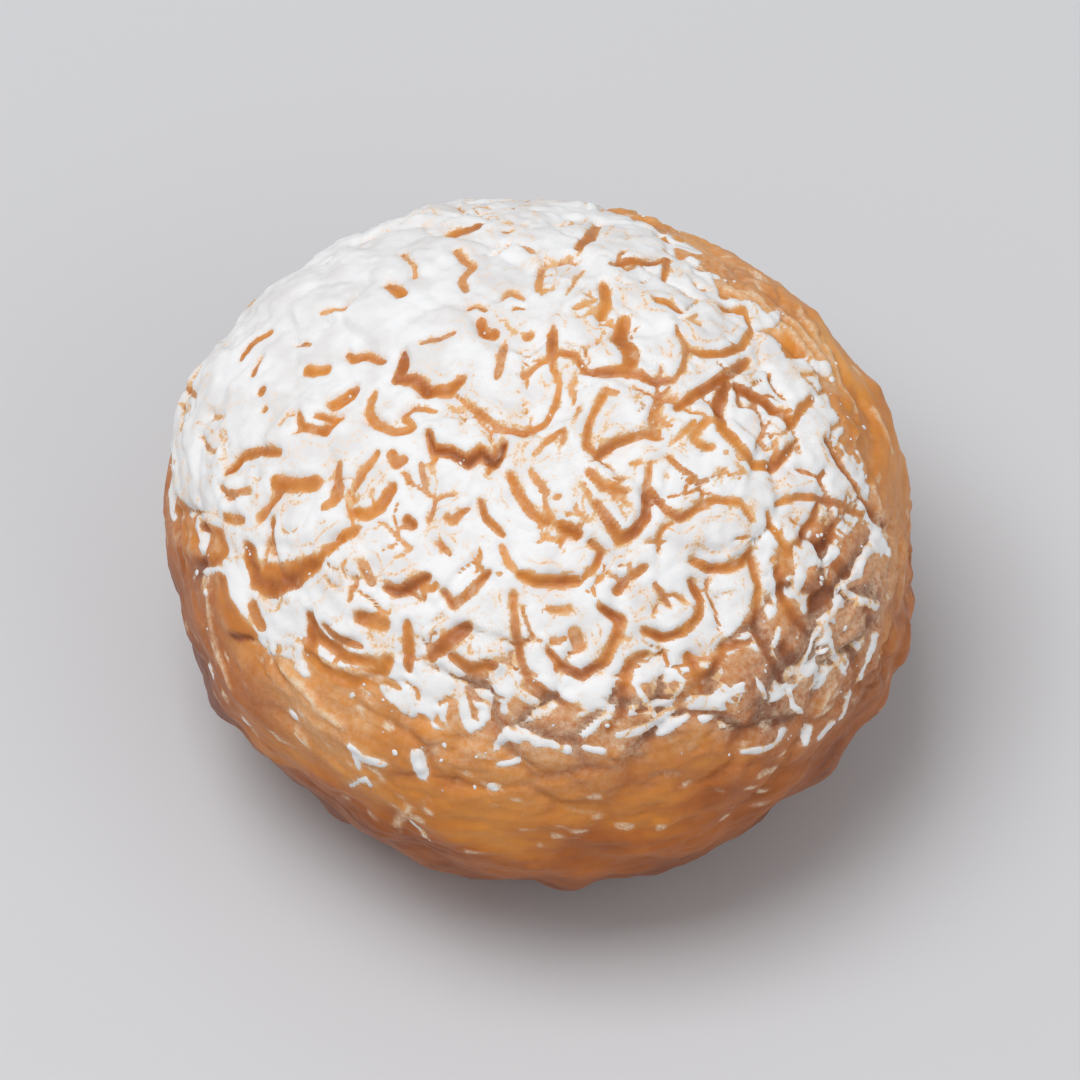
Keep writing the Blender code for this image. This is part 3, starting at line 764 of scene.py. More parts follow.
@dataclass
class Line:
    """Mark that has been laid on the bun: its points in millimetres about the girth's centre."""

    points: np.ndarray
    width: float
    depth: float
    bare: float


@dataclass
class Drawn:
    """What a set of lines gives at every vertex, in millimetres."""

    edge: np.ndarray
    half: np.ndarray
    depth: np.ndarray
    bare: np.ndarray
    uphill: np.ndarray
    lip: np.ndarray

    def trough(self, soft: float = 0.28) -> np.ndarray:
        """Share of each line's depth: 1 on its middle, easing to 0 this many millimetres past its edge."""
        across = np.clip((self.edge + self.half) / (self.half + soft), 0.0, 1.0)
        return (1.0 - across**2) ** 2


def downhill(outward: np.ndarray) -> np.ndarray:
    """Direction down the slope, which turns to the front where the crown is level.

    Args:
        outward: Outward unit vectors, one row each.

    Returns:
        Unit vectors along the surface.
    """
    pull = np.array([0.0, -0.35, -1.0])
    along = pull - (outward @ pull)[:, None] * outward
    return along / np.linalg.norm(along, axis=1, keepdims=True)


@dataclass(frozen=True)
class SugarCover:
    """Where the powdered sugar ends and how thick it lies, in millimetres."""

    # Latitude in degrees where the sugar ends, at each azimuth in degrees
    edge: tuple[tuple[float, float], ...] = (
        (-180.0, 15.0), (-167.0, 21.0), (-151.0, 23.0), (-141.0, 24.0), (-131.0, 29.0),
        (-118.0, 31.0), (-103.0, 29.0), (-84.0, 30.0), (-73.0, 29.0), (-55.0, 25.0),
        (-40.0, 23.0), (-28.0, 20.0), (-17.0, 20.0), (-9.0, 24.0), (-5.0, 35.0),
        (1.0, 41.0), (15.0, 43.0), (24.0, 48.0), (38.0, 50.0), (55.0, 46.0),
        (75.0, 34.0), (105.0, 22.0), (140.0, 10.0), (165.0, 9.0), (180.0, 15.0),
    )
    reach_per_degree: float = 0.36
    # The thick drift on the upper left, and how deep the sugar lies: everywhere, and more in the drift
    thick: Patch = Patch(150.0, 52.0, 12.0, 1.0)
    thin_depth: float = 0.06
    thick_depth: float = 0.14
    # How deep the layer lies under the bare crust
    hidden: float = 0.25
    # Where the cover is broken: only the upper rims of the plates hold sugar
    broken: tuple[Patch, ...] = (
        Patch(-38.0, 26.0, 5.5, 1.25),
        Patch(-54.0, 27.0, 3.5, 0.9),
        Patch(-72.0, 30.0, 3.0, 0.9),
        Patch(-88.0, 30.0, 3.2, 0.9),
        Patch(-22.0, 26.0, 3.5, 0.8),
        Patch(-103.0, 34.0, 2.4, 0.7),
        Patch(-165.0, 18.0, 3.0, 0.6),
    )

    def within(self, unit: np.ndarray) -> np.ndarray:
        """Distance inside the edge of the sugar, in millimetres, ragged near the edge.

        Args:
            unit: Unit vectors, one row each.

        Returns:
            Distance at each vector, negative where the crust is bare.
        """
        latitude = latitude_of(unit)
        azimuth = np.degrees(np.arctan2(unit[:, 1], unit[:, 0]))
        edge = np.interp(azimuth, [p[0] for p in self.edge], [p[1] for p in self.edge])
        inside = (latitude - edge) * self.reach_per_degree
        flat = unit * RADIUS
        ragged = 1.0 * waves(flat, 4.5, SEED + 70) + 0.7 * waves(flat, 1.8, SEED + 71)
        return inside + ragged * smoothstep(6.0, 1.5, np.abs(inside)) + 0.15 * waves(flat, 1.0, SEED + 72)

    def broken_share(self, unit: np.ndarray) -> np.ndarray:
        """1 where only the upper rims of the plates hold sugar, 0 where the cover is whole."""
        total = sum(patch.share(unit) for patch in self.broken)
        return smoothstep(0.25, 0.85, total + 0.10 * waves(unit * RADIUS, 3.0, SEED + 74))

    def depth(self, unit: np.ndarray) -> np.ndarray:
        """Depth of the sugar where it covers, in millimetres."""
        return self.thin_depth + self.thick_depth * self.thick_share(unit)

    def thick_share(self, unit: np.ndarray) -> np.ndarray:
        """1 in the middle of the thick drift, fading out from it."""
        return self.thick.share(unit)


@dataclass
class Shell:
    """Closed shell of the bun, finest on its crown, that the crust and the sugar share."""

    form: BunForm = field(default_factory=BunForm)
    crackle: Crackle = field(default_factory=Crackle)
    # Rows of faces on each side of the cube, and the share of the rows that goes to the crown, which reaches
    # this many degrees down from the top
    cuts: int = 128
    crown_share: float = 0.72
    crown_angle: float = 104.0
    # How deep the open and the fine cracks sink for their depth, and how much more on the uphill side
    crack_sink: float = 0.42
    fine_sink: float = 0.5
    uphill_more: float = 0.55
    # Height of the lips beside a crack for its depth, their most, and how far they reach
    lip_height: float = 0.15
    lip_most: float = 0.3
    lip_reach: float = 2.4
    fine_lip: float = 0.6
    fold_height: float = 0.16
    # Half of a line's width for its width, what is added to that, its share at the tips, and how much the
    # line wavers
    half_share: float = 0.36
    half_more: float = 0.03
    tip_width: float = 0.62
    half_waver: float = 0.9
    edge_waver: float = 0.35
    # How far the lip above and the dip below a line fade out, and how far a vertex is from no line at all
    lip_fade: float = 0.9
    dip_fade: float = 1.1
    far: float = 9.0
    # Grain of the whole crust, and swells and drawn-out wrinkles of its smooth parts: length, height and seed
    grain: tuple[tuple[float, float, int], ...] = ((1.5, 0.022, SEED + 7), (0.8, 0.012, SEED + 8))
    swell: tuple[float, float, int] = (5.0, 0.14, SEED + 44)
    wrinkles: tuple[tuple[float, float, int], ...] = ((3.0, 0.05, SEED + 42), (1.4, 0.02, SEED + 43))
    wrinkle_stretch: tuple[float, float, float] = (0.45, 0.45, 1.3)

    def make_ball(self) -> bpy.types.Mesh:
        """Cube with a grid on each side, as the topology of the shell.

        Returns:
            Mesh of a subdivided cube with sides of 2.
        """
        ball = bmesh.new()
        bmesh.ops.create_cube(ball, size=2.0)
        bmesh.ops.subdivide_edges(ball, edges=list(ball.edges), cuts=self.cuts - 1, use_grid_fill=True)
        bmesh.ops.recalc_face_normals(ball, faces=list(ball.faces))
        return mesh_of(ball, "shell")

    def unit_vectors(self, mesh: bpy.types.Mesh) -> np.ndarray:
        """Round the cube to a sphere and draw its rows towards the crown.

        Args:
            mesh: Mesh of the subdivided cube.

        Returns:
            Unit vector of each vertex.
        """
        flat = np.empty(len(mesh.vertices) * 3, np.float32)
        mesh.vertices.foreach_get("co", flat)
        unit = np.tan(flat.reshape(-1, 3).astype(float) * math.pi / 4.0)
        unit /= np.linalg.norm(unit, axis=1, keepdims=True)
        polar = np.degrees(np.arccos(np.clip(unit[:, 2], -1.0, 1.0)))
        even = [0.0, self.crown_share * 180.0, 180.0]
        dip = np.radians(np.interp(polar, even, [0.0, self.crown_angle, 180.0]))
        turn = np.arctan2(unit[:, 1], unit[:, 0])
        return np.stack([np.sin(dip) * np.cos(turn), np.sin(dip) * np.sin(turn), np.cos(dip)], axis=1)

    def build(self) -> None:
        """Work out the relief of the crust at every vertex."""
        self.mesh = self.make_ball()
        rise = math.radians(SIGHT)
        self.sight = np.array([0.0, -math.cos(rise), math.sin(rise)])
        self.up_seen = np.array([0.0, math.sin(rise), math.cos(rise)])
        self.unit = unit = self.unit_vectors(self.mesh)
        flat = unit * RADIUS
        share = self.crackle.share(unit)
        calm = self.crackle.smooth_crease + (1.0 - self.crackle.smooth_crease) * share
        level, crease, self.to_crease, across = self.crackle.plates(unit)
        facets, self.fine_lines = self.crackle.facets(unit)
        grain = sum(height * waves(flat, length, seed) for length, height, seed in self.grain)
        drawn_out = flat * np.array(self.wrinkle_stretch)
        length, height, seed = self.swell
        skin = height * waves(flat, length, seed)
        for length, height, seed in self.wrinkles:
            skin = skin + height * waves(drawn_out, length, seed)
        skin = (1.0 - share) * skin
        self.point, self.outward = self.form.surface(unit)
        self.lower_border = (across * downhill(self.outward)).sum(axis=1)
        self.wobble = 0.13 * waves(flat, 1.6, SEED + 40) + 0.07 * waves(flat, 0.8, SEED + 41)
        base = self.form.unevenness(unit) + level * calm
        self.fit_box(self.point + self.outward * base[:, None])
        self.seen = self.as_seen(base)
        self.cracks = self.draw(self.laid(CRACKS) + HiddenCracks().lines(self))
        self.ticks = self.draw(FineCracks().lines(self))
        self.dabs = self.draw(self.laid(DABS))
        self.folds = self.draw(self.laid(FOLDS))
        self.plate_crease = crease * calm
        self.facets = facets * (0.2 + 0.8 * share)
        steeper = 1.0 + self.uphill_more * self.cracks.uphill
        hollow = -self.crack_sink * self.cracks.depth * self.cracks.trough(0.16) * steeper + self.cracks.lip
        hollow += -self.fine_sink * self.ticks.depth * self.ticks.trough(0.2) + self.fine_lip * self.ticks.lip
        fold = self.fold_height * self.folds.trough(0.35)
        self.crust_height = base + self.plate_crease + self.facets + hollow + fold + grain + skin
        self.fit_box(self.point + self.outward * self.crust_height[:, None])

    def as_seen(self, height: np.ndarray) -> np.ndarray:
        """How far right and up of the bun's middle the camera sees each vertex.

        Args:
            height: Height in millimetres at each vertex.

        Returns:
            Millimetres right and up, one row each, out of reach where the vertex faces away.
        """
        place = self.place(height) / MM - np.array([0.0, 0.0, self.form.girth_height])
        nearer = 1.0 / (1.0 - (place @ self.sight) / DISTANCE)
        seen = np.stack([place[:, 0] * nearer, (place @ self.up_seen) * nearer], axis=1)
        seen[self.outward @ self.sight <= 0.0] = DISTANCE
        return seen

    def laid(self, marks: tuple[Mark, ...]) -> list[Line]:
        """Lay marks that are given as seen from the front on the side of the bun that shows them.

        Args:
            marks: The marks.

        Returns:
            One line for each mark.
        """
        lines = []
        for mark in marks:
            found = [np.argmin(((self.seen - place) ** 2).sum(axis=1)) for place in mark.places()]
            lines.append(Line(self.point[found], mark.width, mark.depth, mark.bare))
        return lines

    def draw(self, lines: list[Line]) -> Drawn:
        """Distance from every vertex to the nearest line's edge, and the lips beside the lines.

        Args:
            lines: The lines.

        Returns:
            The drawn lines.
        """
        count = len(self.point)
        result = Drawn(np.full(count, self.far), np.full(count, 0.4), *(np.zeros(count) for _ in range(4)))
        for line in lines:
            middle = line.points.mean(axis=0)
            reach = np.linalg.norm(line.points - middle, axis=1).max() + line.width / 2.0 + self.lip_reach
            near = np.flatnonzero(((self.point - middle) ** 2).sum(axis=1) < reach**2)
            place = self.point[near]
            lengths = np.linalg.norm(np.diff(line.points, axis=0), axis=1)
            away = np.full(len(near), np.inf)
            foot = np.zeros((len(near), 3))
            along = np.zeros(len(near))
            run = 0.0
            for start, end, length in zip(line.points[:-1], line.points[1:], lengths):
                share = np.clip((place - start) @ (end - start) / max(length, 1e-6) ** 2, 0.0, 1.0)
                spot = start + share[:, None] * (end - start)
                apart = np.linalg.norm(place - spot, axis=1)
                closer = apart < away
                away = np.where(closer, apart, away)
                foot = np.where(closer[:, None], spot, foot)
                along = np.where(closer, run + share * length, along)
                run += length
            middle_share = np.clip(along / max(run, 1e-6), 0.0, 1.0)
            belly = np.sqrt(4.0 * middle_share * (1.0 - middle_share))
            taper = 1.0 if run < 2.0 * line.width else self.tip_width + (1.0 - self.tip_width) * belly
            wobble = self.wobble[near]
            half = (self.half_share * line.width + self.half_more) * taper * (1.0 + self.half_waver * wobble)
            edge = away - half + self.edge_waver * wobble
            side = -((place - foot) * downhill(self.outward[near])).sum(axis=1) / np.sqrt(away**2 + 0.04)
            past = np.maximum(edge, 0.0)
            lip = (1.0 + side) * np.exp(-((past / self.lip_fade) ** 2))
            lip -= (1.0 - side) * np.exp(-((past / self.dip_fade) ** 2))
            result.lip[near] += 0.5 * self.lip_height * line.depth / 0.4 * lip
            first = edge < result.edge[near]
            chosen = near[first]
            result.edge[chosen] = edge[first]
            result.half[chosen] = half[first]
            result.depth[chosen] = line.depth
            result.bare[chosen] = line.bare
            result.uphill[chosen] = side[first]
        result.lip = self.lip_most * np.tanh(result.lip / self.lip_most)
        return result

    def fit_box(self, place: np.ndarray) -> None:
        """Scale and shift that bring the crust to the solid's box.

        Args:
            place: Crust points in millimetres about the girth's centre.
        """
        raised = place.copy()
        raised[:, 2] = np.maximum(raised[:, 2] + self.form.girth_height, 0.0)
        low, high = raised.min(axis=0), raised.max(axis=0)
        box_low, box_high = (np.array(corner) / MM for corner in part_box(NODE))
        self.scale = (box_high - box_low) / (high - low)
        self.low, self.box_low = low, box_low

    def place(self, height: np.ndarray) -> np.ndarray:
        """Points at these heights over the smooth bun, in the part's frame.

        Args:
            height: Height in millimetres at each vertex.

        Returns:
            Points in metres.
        """
        raised = self.point + self.outward * height[:, None]
        raised[:, 2] = np.maximum(raised[:, 2] + self.form.girth_height, 0.0)
        return ((raised - self.low) * self.scale + self.box_low) * MM

    def piece(self, name: str, height: np.ndarray) -> bpy.types.Object:
        """Object whose mesh is the shell at these heights.

        Args:
            name: Name of the piece.
            height: Height in millimetres at each vertex.

        Returns:
            The new object, shaded smooth, at the origin.
        """
        mesh = self.mesh.copy()
        mesh.name = name
        mesh.vertices.foreach_set("co", self.place(height).astype(np.float32).ravel())
        mesh.shade_smooth()
        mesh.update()
        return add_object(name, mesh)


def normals_of(mesh: bpy.types.Mesh) -> np.ndarray:
    """Vertex normals of a mesh.

    Args:
        mesh: The mesh.

    Returns:
        One unit vector for each vertex.
    """
    flat = np.empty(len(mesh.vertices) * 3, np.float32)
    mesh.vertex_normals.foreach_get("vector", flat)
    return flat.reshape(-1, 3).astype(float)


def set_share(mesh: bpy.types.Mesh, name: str, values: np.ndarray) -> None:
    """Store one number for each vertex, under this name, for a material to read."""
    layer = mesh.attributes.new(name, "FLOAT", "POINT")
    layer.data.foreach_set("value", values.astype(np.float32))


class Pattern:
    """Material in the making, with a short way to add each node that its patterns need."""

    def __init__(self, name: str) -> None:
        """Start a material of this name."""
        self.material = bpy.data.materials.new(name)
        self.material.use_nodes = True
        self.tree = self.material.node_tree
        self.shader = self.tree.nodes["Principled BSDF"]
        self.place = add_node(self.tree, "ShaderNodeTexCoord").outputs["Object"]

    def stored(self, name: str) -> Any:
        """Value that the mesh stores under this name."""
        return add_node(self.tree, "ShaderNodeAttribute", attribute_name=name).outputs["Fac"]

    def noise(self, size_mm: float, detail: float, roughness: float = 0.5, place: Any = None) -> Any:
        """Noise with patches about this many millimetres across."""
        where = self.place if place is None else place
        inputs = {"Vector": where, "Scale": 1000.0 / size_mm, "Detail": detail, "Roughness": roughness}
        return add_node(self.tree, "ShaderNodeTexNoise", inputs).outputs["Fac"]

    def math(self, operation: str, *values: Any) -> Any:
        """Result of one operation on sockets or numbers."""
        return add_node(self.tree, "ShaderNodeMath", dict(enumerate(values)), operation=operation).outputs[0]

    def ranged(self, value: Any, low: float, high: float, start: float = 0.0, end: float = 1.0) -> Any:
        """Value that runs from start, where the given one is low, to end, where it is high."""
        inputs = {"Value": value, "From Min": low, "From Max": high, "To Min": start, "To Max": end}
        return add_node(self.tree, "ShaderNodeMapRange", inputs).outputs[0]

    def blend(self, share: Any, first: Any, second: Any) -> Any:
        """Colour between two colours, each a hex code or a socket."""
        inputs = {"Factor": share}
        for socket, end in ((6, first), (7, second)):
            inputs[socket] = linear(end) if isinstance(end, str) else end
        return add_node(self.tree, "ShaderNodeMix", inputs, data_type="RGBA").outputs[2]

    def bump(self, height: Any, strength: float, depth_mm: float, under: dict[str, Any] | None = None) -> Any:
        """Shading normal of relief this deep, over the relief that is under it."""
        inputs = {"Height": height, "Strength": strength, "Distance": depth_mm * MM, **(under or {})}
        return add_node(self.tree, "ShaderNodeBump", inputs).outputs["Normal"]

    def finish(self, inputs: dict[str, Any]) -> bpy.types.Material:
        """Feed the shader and hand over the material."""
        feed(self.tree, self.shader, inputs)
        return self.material


@dataclass(frozen=True)
class BakedCrust:
    """Finish of the baked choux crust."""

    # To the eye it is an egg-rich golden skin: pale on the raised folds, a painted highlight, deep brown in
    # the cracks, which is painted shade, and low down, partly browner baking and partly painted shade, softly
    # glossy where it is bare and dull where a little sugar lies
    pale: str = "#efb36a"
    golden: str = "#dd8e3a"
    brown: str = "#b76728"
    deep: str = "#824015"
    dusted: str = "#efd7ba"
    # Where each colour sits on the scale of baking and painted shade, from 0 to 1
    pale_at: float = 0.10
    golden_at: float = 0.38
    brown_at: float = 0.68
    roughness: float = 0.40
    dusted_roughness: float = 0.85
    # Size of each pattern. The pores are drawn coarser than real ones, which the picture can't show
    streak_mm: float = 2.2
    patch_mm: float = 5.0
    speckle_mm: float = 0.9
    fleck_mm: float = 0.5
    pore_mm: float = 0.4
    pore_depth_mm: float = 0.07
    # How much each pattern changes how far the crust is baked
    streak_share: float = 0.50
    patch_share: float = 0.52
    speckle_share: float = 0.16
    # Streaks run around the bun
    streak_stretch: tuple[float, float, float] = (0.4, 0.4, 1.5)

    def material(self) -> bpy.types.Material:
        """Crust material that reads how far each place is baked, with painted shade and a painted highlight
        added, and how far it is dusted.

        Returns:
            The material.
        """
        made = Pattern("baked_choux_crust")
        inputs = {"Vector": made.place, "Scale": self.streak_stretch}
        drawn_out = add_node(made.tree, "ShaderNodeMapping", inputs).outputs["Vector"]
        # The stored value is baking plus painted shade: darker in the cracks, the creases and low down, paler
        # on the folds
        baked = made.stored("bake_and_shade")
        for share, pattern in (
            (self.streak_share, made.noise(self.streak_mm, 4.0, 0.6, drawn_out)),
            (self.patch_share, made.noise(self.patch_mm, 3.0)),
            (self.speckle_share, made.noise(self.speckle_mm, 4.0, 0.6)),
        ):
            baked = made.math("MULTIPLY_ADD", pattern, share, baked)
        middle = (self.streak_share + self.patch_share + self.speckle_share) / 2.0
        ramp = add_node(made.tree, "ShaderNodeValToRGB", {"Fac": made.math("SUBTRACT", baked, middle)})
        stops = ramp.color_ramp.elements
        stops[0].position, stops[0].color = self.pale_at, linear(self.pale)
        stops[1].color = linear(self.deep)
        for position, code in ((self.golden_at, self.golden), (self.brown_at, self.brown)):
            stops.new(position).color = linear(code)
        flecks = made.ranged(made.noise(self.fleck_mm, 6.0, 0.8), 0.40, 0.60, 0.25, 1.3)
        dusty = made.math("MULTIPLY", made.stored("dust"), flecks)
        dusty.node.use_clamp = True
        return made.finish(
            {
                "Base Color": made.blend(dusty, ramp.outputs["Color"], self.dusted),
                "Roughness": made.ranged(dusty, 0.0, 1.0, self.roughness, self.dusted_roughness),
                "Normal": made.bump(made.noise(self.pore_mm, 3.0), 0.30, self.pore_depth_mm),
                "Specular IOR Level": 0.30,
                "Subsurface Weight": 0.12,
                "Subsurface Radius": (1.0, 0.45, 0.2),
                "Subsurface Scale": 1.0 * MM,
            }
        )


@dataclass(frozen=True)
class PowderedSugar:
    """Finish of the powdered sugar."""

    # To the eye it is a matt, slightly uneven white, which turns warm where it is so thin that the crust
    # shows through
    white: str = "#f3f3f4"
    shade: str = "#e7e5e5"
    film: str = "#f1dfcf"
    thin: str = "#e6bb8c"
    roughness: float = 0.92
    drift_mm: float = 2.6
    bend_mm: float = 1.3
    net_mm: float = 2.1
    haze_mm: float = 3.0
    # Clumps and grains of the powder are drawn coarser than real ones, which the picture can't show
    clump_mm: float = 0.5
    clump_depth_mm: float = 0.10
    powder_mm: float = 0.18
    powder_depth_mm: float = 0.04
    # How far beside a crack its broken line runs, and how far the net is bent, in metres
    echo_mm: float = 1.15
    net_bend: float = 0.0009

    def material(self, layered: bool) -> bpy.types.Material:
        """Sugar material.

        Args:
            layered: Whether the piece stores how thick the sugar is.

        Returns:
            The material.
        """
        made = Pattern("powdered_sugar_layer" if layered else "powdered_sugar_clump")
        clumps = made.noise(self.clump_mm, 4.0, 0.6)
        powder = made.noise(self.powder_mm, 2.0)
        soft = made.bump(clumps, 0.35, self.clump_depth_mm)
        return made.finish(
            {
                "Base Color": self.layer_colour(made, clumps, powder) if layered else linear(self.white),
                "Roughness": self.roughness,
                "Normal": made.bump(powder, 0.3, self.powder_depth_mm, {"Normal": soft}),
                "Specular IOR Level": 0.25,
                "Subsurface Weight": 0.15,
                "Subsurface Radius": (1.0, 0.9, 0.8),
                "Subsurface Scale": 0.4 * MM,
            }
        )

    def layer_colour(self, made: Pattern, clumps: Any, powder: Any) -> Any:
        """Colour that runs from the thin film at an edge to the full white, with a grainy border.

        Args:
            made: Material in the making.
            clumps: Noise of the clumps.
            powder: Noise of the powder.

        Returns:
            Socket of the colour.
        """
        drift = made.noise(self.drift_mm, 3.0)
        body = made.blend(made.ranged(drift, 0.38, 0.58), self.shade, self.white)
        ragged = made.math("MULTIPLY_ADD", clumps, 1.0, self.thinned(made, drift))
        grainy = made.math("MULTIPLY_ADD", powder, 1.2, ragged)
        share = made.ranged(grainy, 1.08, 1.66)
        film = made.blend(made.ranged(share, 0.0, 0.42), self.thin, self.film)
        return made.blend(made.ranged(share, 0.35, 1.0), film, body)

    def thinned(self, made: Pattern, drift: Any) -> Any:
        """Thin the sugar along broken lines beside the cracks and along a fine net between them.

        Args:
            made: Material in the making.
            drift: Slow noise, which leaves some parts whole.

        Returns:
            Socket of the thickness less the lines.
        """
        bend = made.noise(self.bend_mm, 3.0)
        waved = made.math("MULTIPLY_ADD", bend, 0.9, made.stored("from_crack"))
        apart = made.math("ABSOLUTE", made.math("SUBTRACT", waved, self.echo_mm))
        echo = made.ranged(apart, 0.06, 0.26, 1.0, 0.0)
        inputs = {"Factor": self.net_bend, "A": made.place, "B": bend.node.outputs["Color"]}
        bent = add_node(made.tree, "ShaderNodeMix", inputs, data_type="VECTOR").outputs[1]
        inputs = {"Vector": bent, "Scale": 1000.0 / self.net_mm}
        net = add_node(made.tree, "ShaderNodeTexVoronoi", inputs, feature="DISTANCE_TO_EDGE")
        thread = made.ranged(net.outputs["Distance"], 0.03, 0.17, 0.85, 0.0)
        lines = made.math("MAXIMUM", echo, thread)
        broken = made.math("MULTIPLY", lines, made.ranged(drift, 0.44, 0.62, 1.0, 0.1))
        haze = made.ranged(made.noise(self.haze_mm, 4.0), 0.50, 0.66, 0.0, 0.55)
        worn = made.math("MAXIMUM", broken, haze)
        loss = made.math("MULTIPLY", worn, made.ranged(made.stored("dense"), 0.0, 1.0, 0.85, 0.25))
        return made.math("SUBTRACT", made.stored("thick"), loss)


@dataclass
class Crust:
    """Baked crust of the bun."""

    shell: Shell
    finish: BakedCrust = field(default_factory=BakedCrust)
    # How far the crust is baked on the whole, and how much darker it is made low down, partly browner baking
    # and partly painted shade, and in each crack and each crease, which is painted shade
    baked: float = 0.40
    uneven: float = 0.05
    lower_bake_and_shade: float = 0.50
    crack_shade: float = 0.10
    deep_crack_shade: float = 0.42
    crease_shade: float = 0.35
    fold_highlight: float = 0.10
    broken_more: float = 0.12
    broken_crease_shade: float = 1.2
    # Browner patches; the one on the left side low down is partly browner baking and partly painted shadow
    bake_and_shade_patches: tuple[Patch, ...] = (
        Patch(-35.0, 12.0, 9.0, 0.22),
        Patch(-166.0, 6.0, 8.0, 0.34),
        Patch(20.0, 28.0, 9.0, -0.06),
    )

    def build(self) -> bpy.types.Object:
        """Make the crust and store how far it is baked, with painted shade in the cracks, creases and low
        down and a painted highlight on the folds.

        Returns:
            The crust object.
        """
        shell = self.shell
        piece = shell.piece("crust", shell.crust_height)
        trough = shell.cracks.trough(0.1)
        crease = -shell.plate_crease
        bake_and_shade = self.baked + self.uneven * waves(shell.unit * RADIUS, 9.0, SEED + 80)
        # Darker towards the bottom: partly browner baking and partly painted shade
        bake_and_shade += self.lower_bake_and_shade * smoothstep(0.30, -0.45, shell.unit[:, 2])
        broken = SugarCover().broken_share(shell.unit)
        # Browner in the broken parts; the creases there are coloured darker still, which is painted shade
        bake_and_shade += broken * (self.broken_more + self.broken_crease_shade * np.clip(crease, 0.0, 0.3))
        # Painted shade: the cracks are coloured darker and deeper brown, the more so the deeper they are
        bake_and_shade += trough * (self.crack_shade + self.deep_crack_shade * smoothstep(0.30, 0.85, shell.cracks.depth))
        # Painted shade in the creases; the raised folds are coloured paler, which is a painted highlight
        bake_and_shade += self.crease_shade * np.clip(crease, 0.0, 0.4) - self.fold_highlight * shell.folds.trough()
        for patch in self.bake_and_shade_patches:
            bake_and_shade += patch.share(shell.unit)
        set_share(piece.data, "bake_and_shade", bake_and_shade)
        piece.data.materials.append(self.finish.material())
        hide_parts(NODE)
        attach(piece, BODY)
        return piece


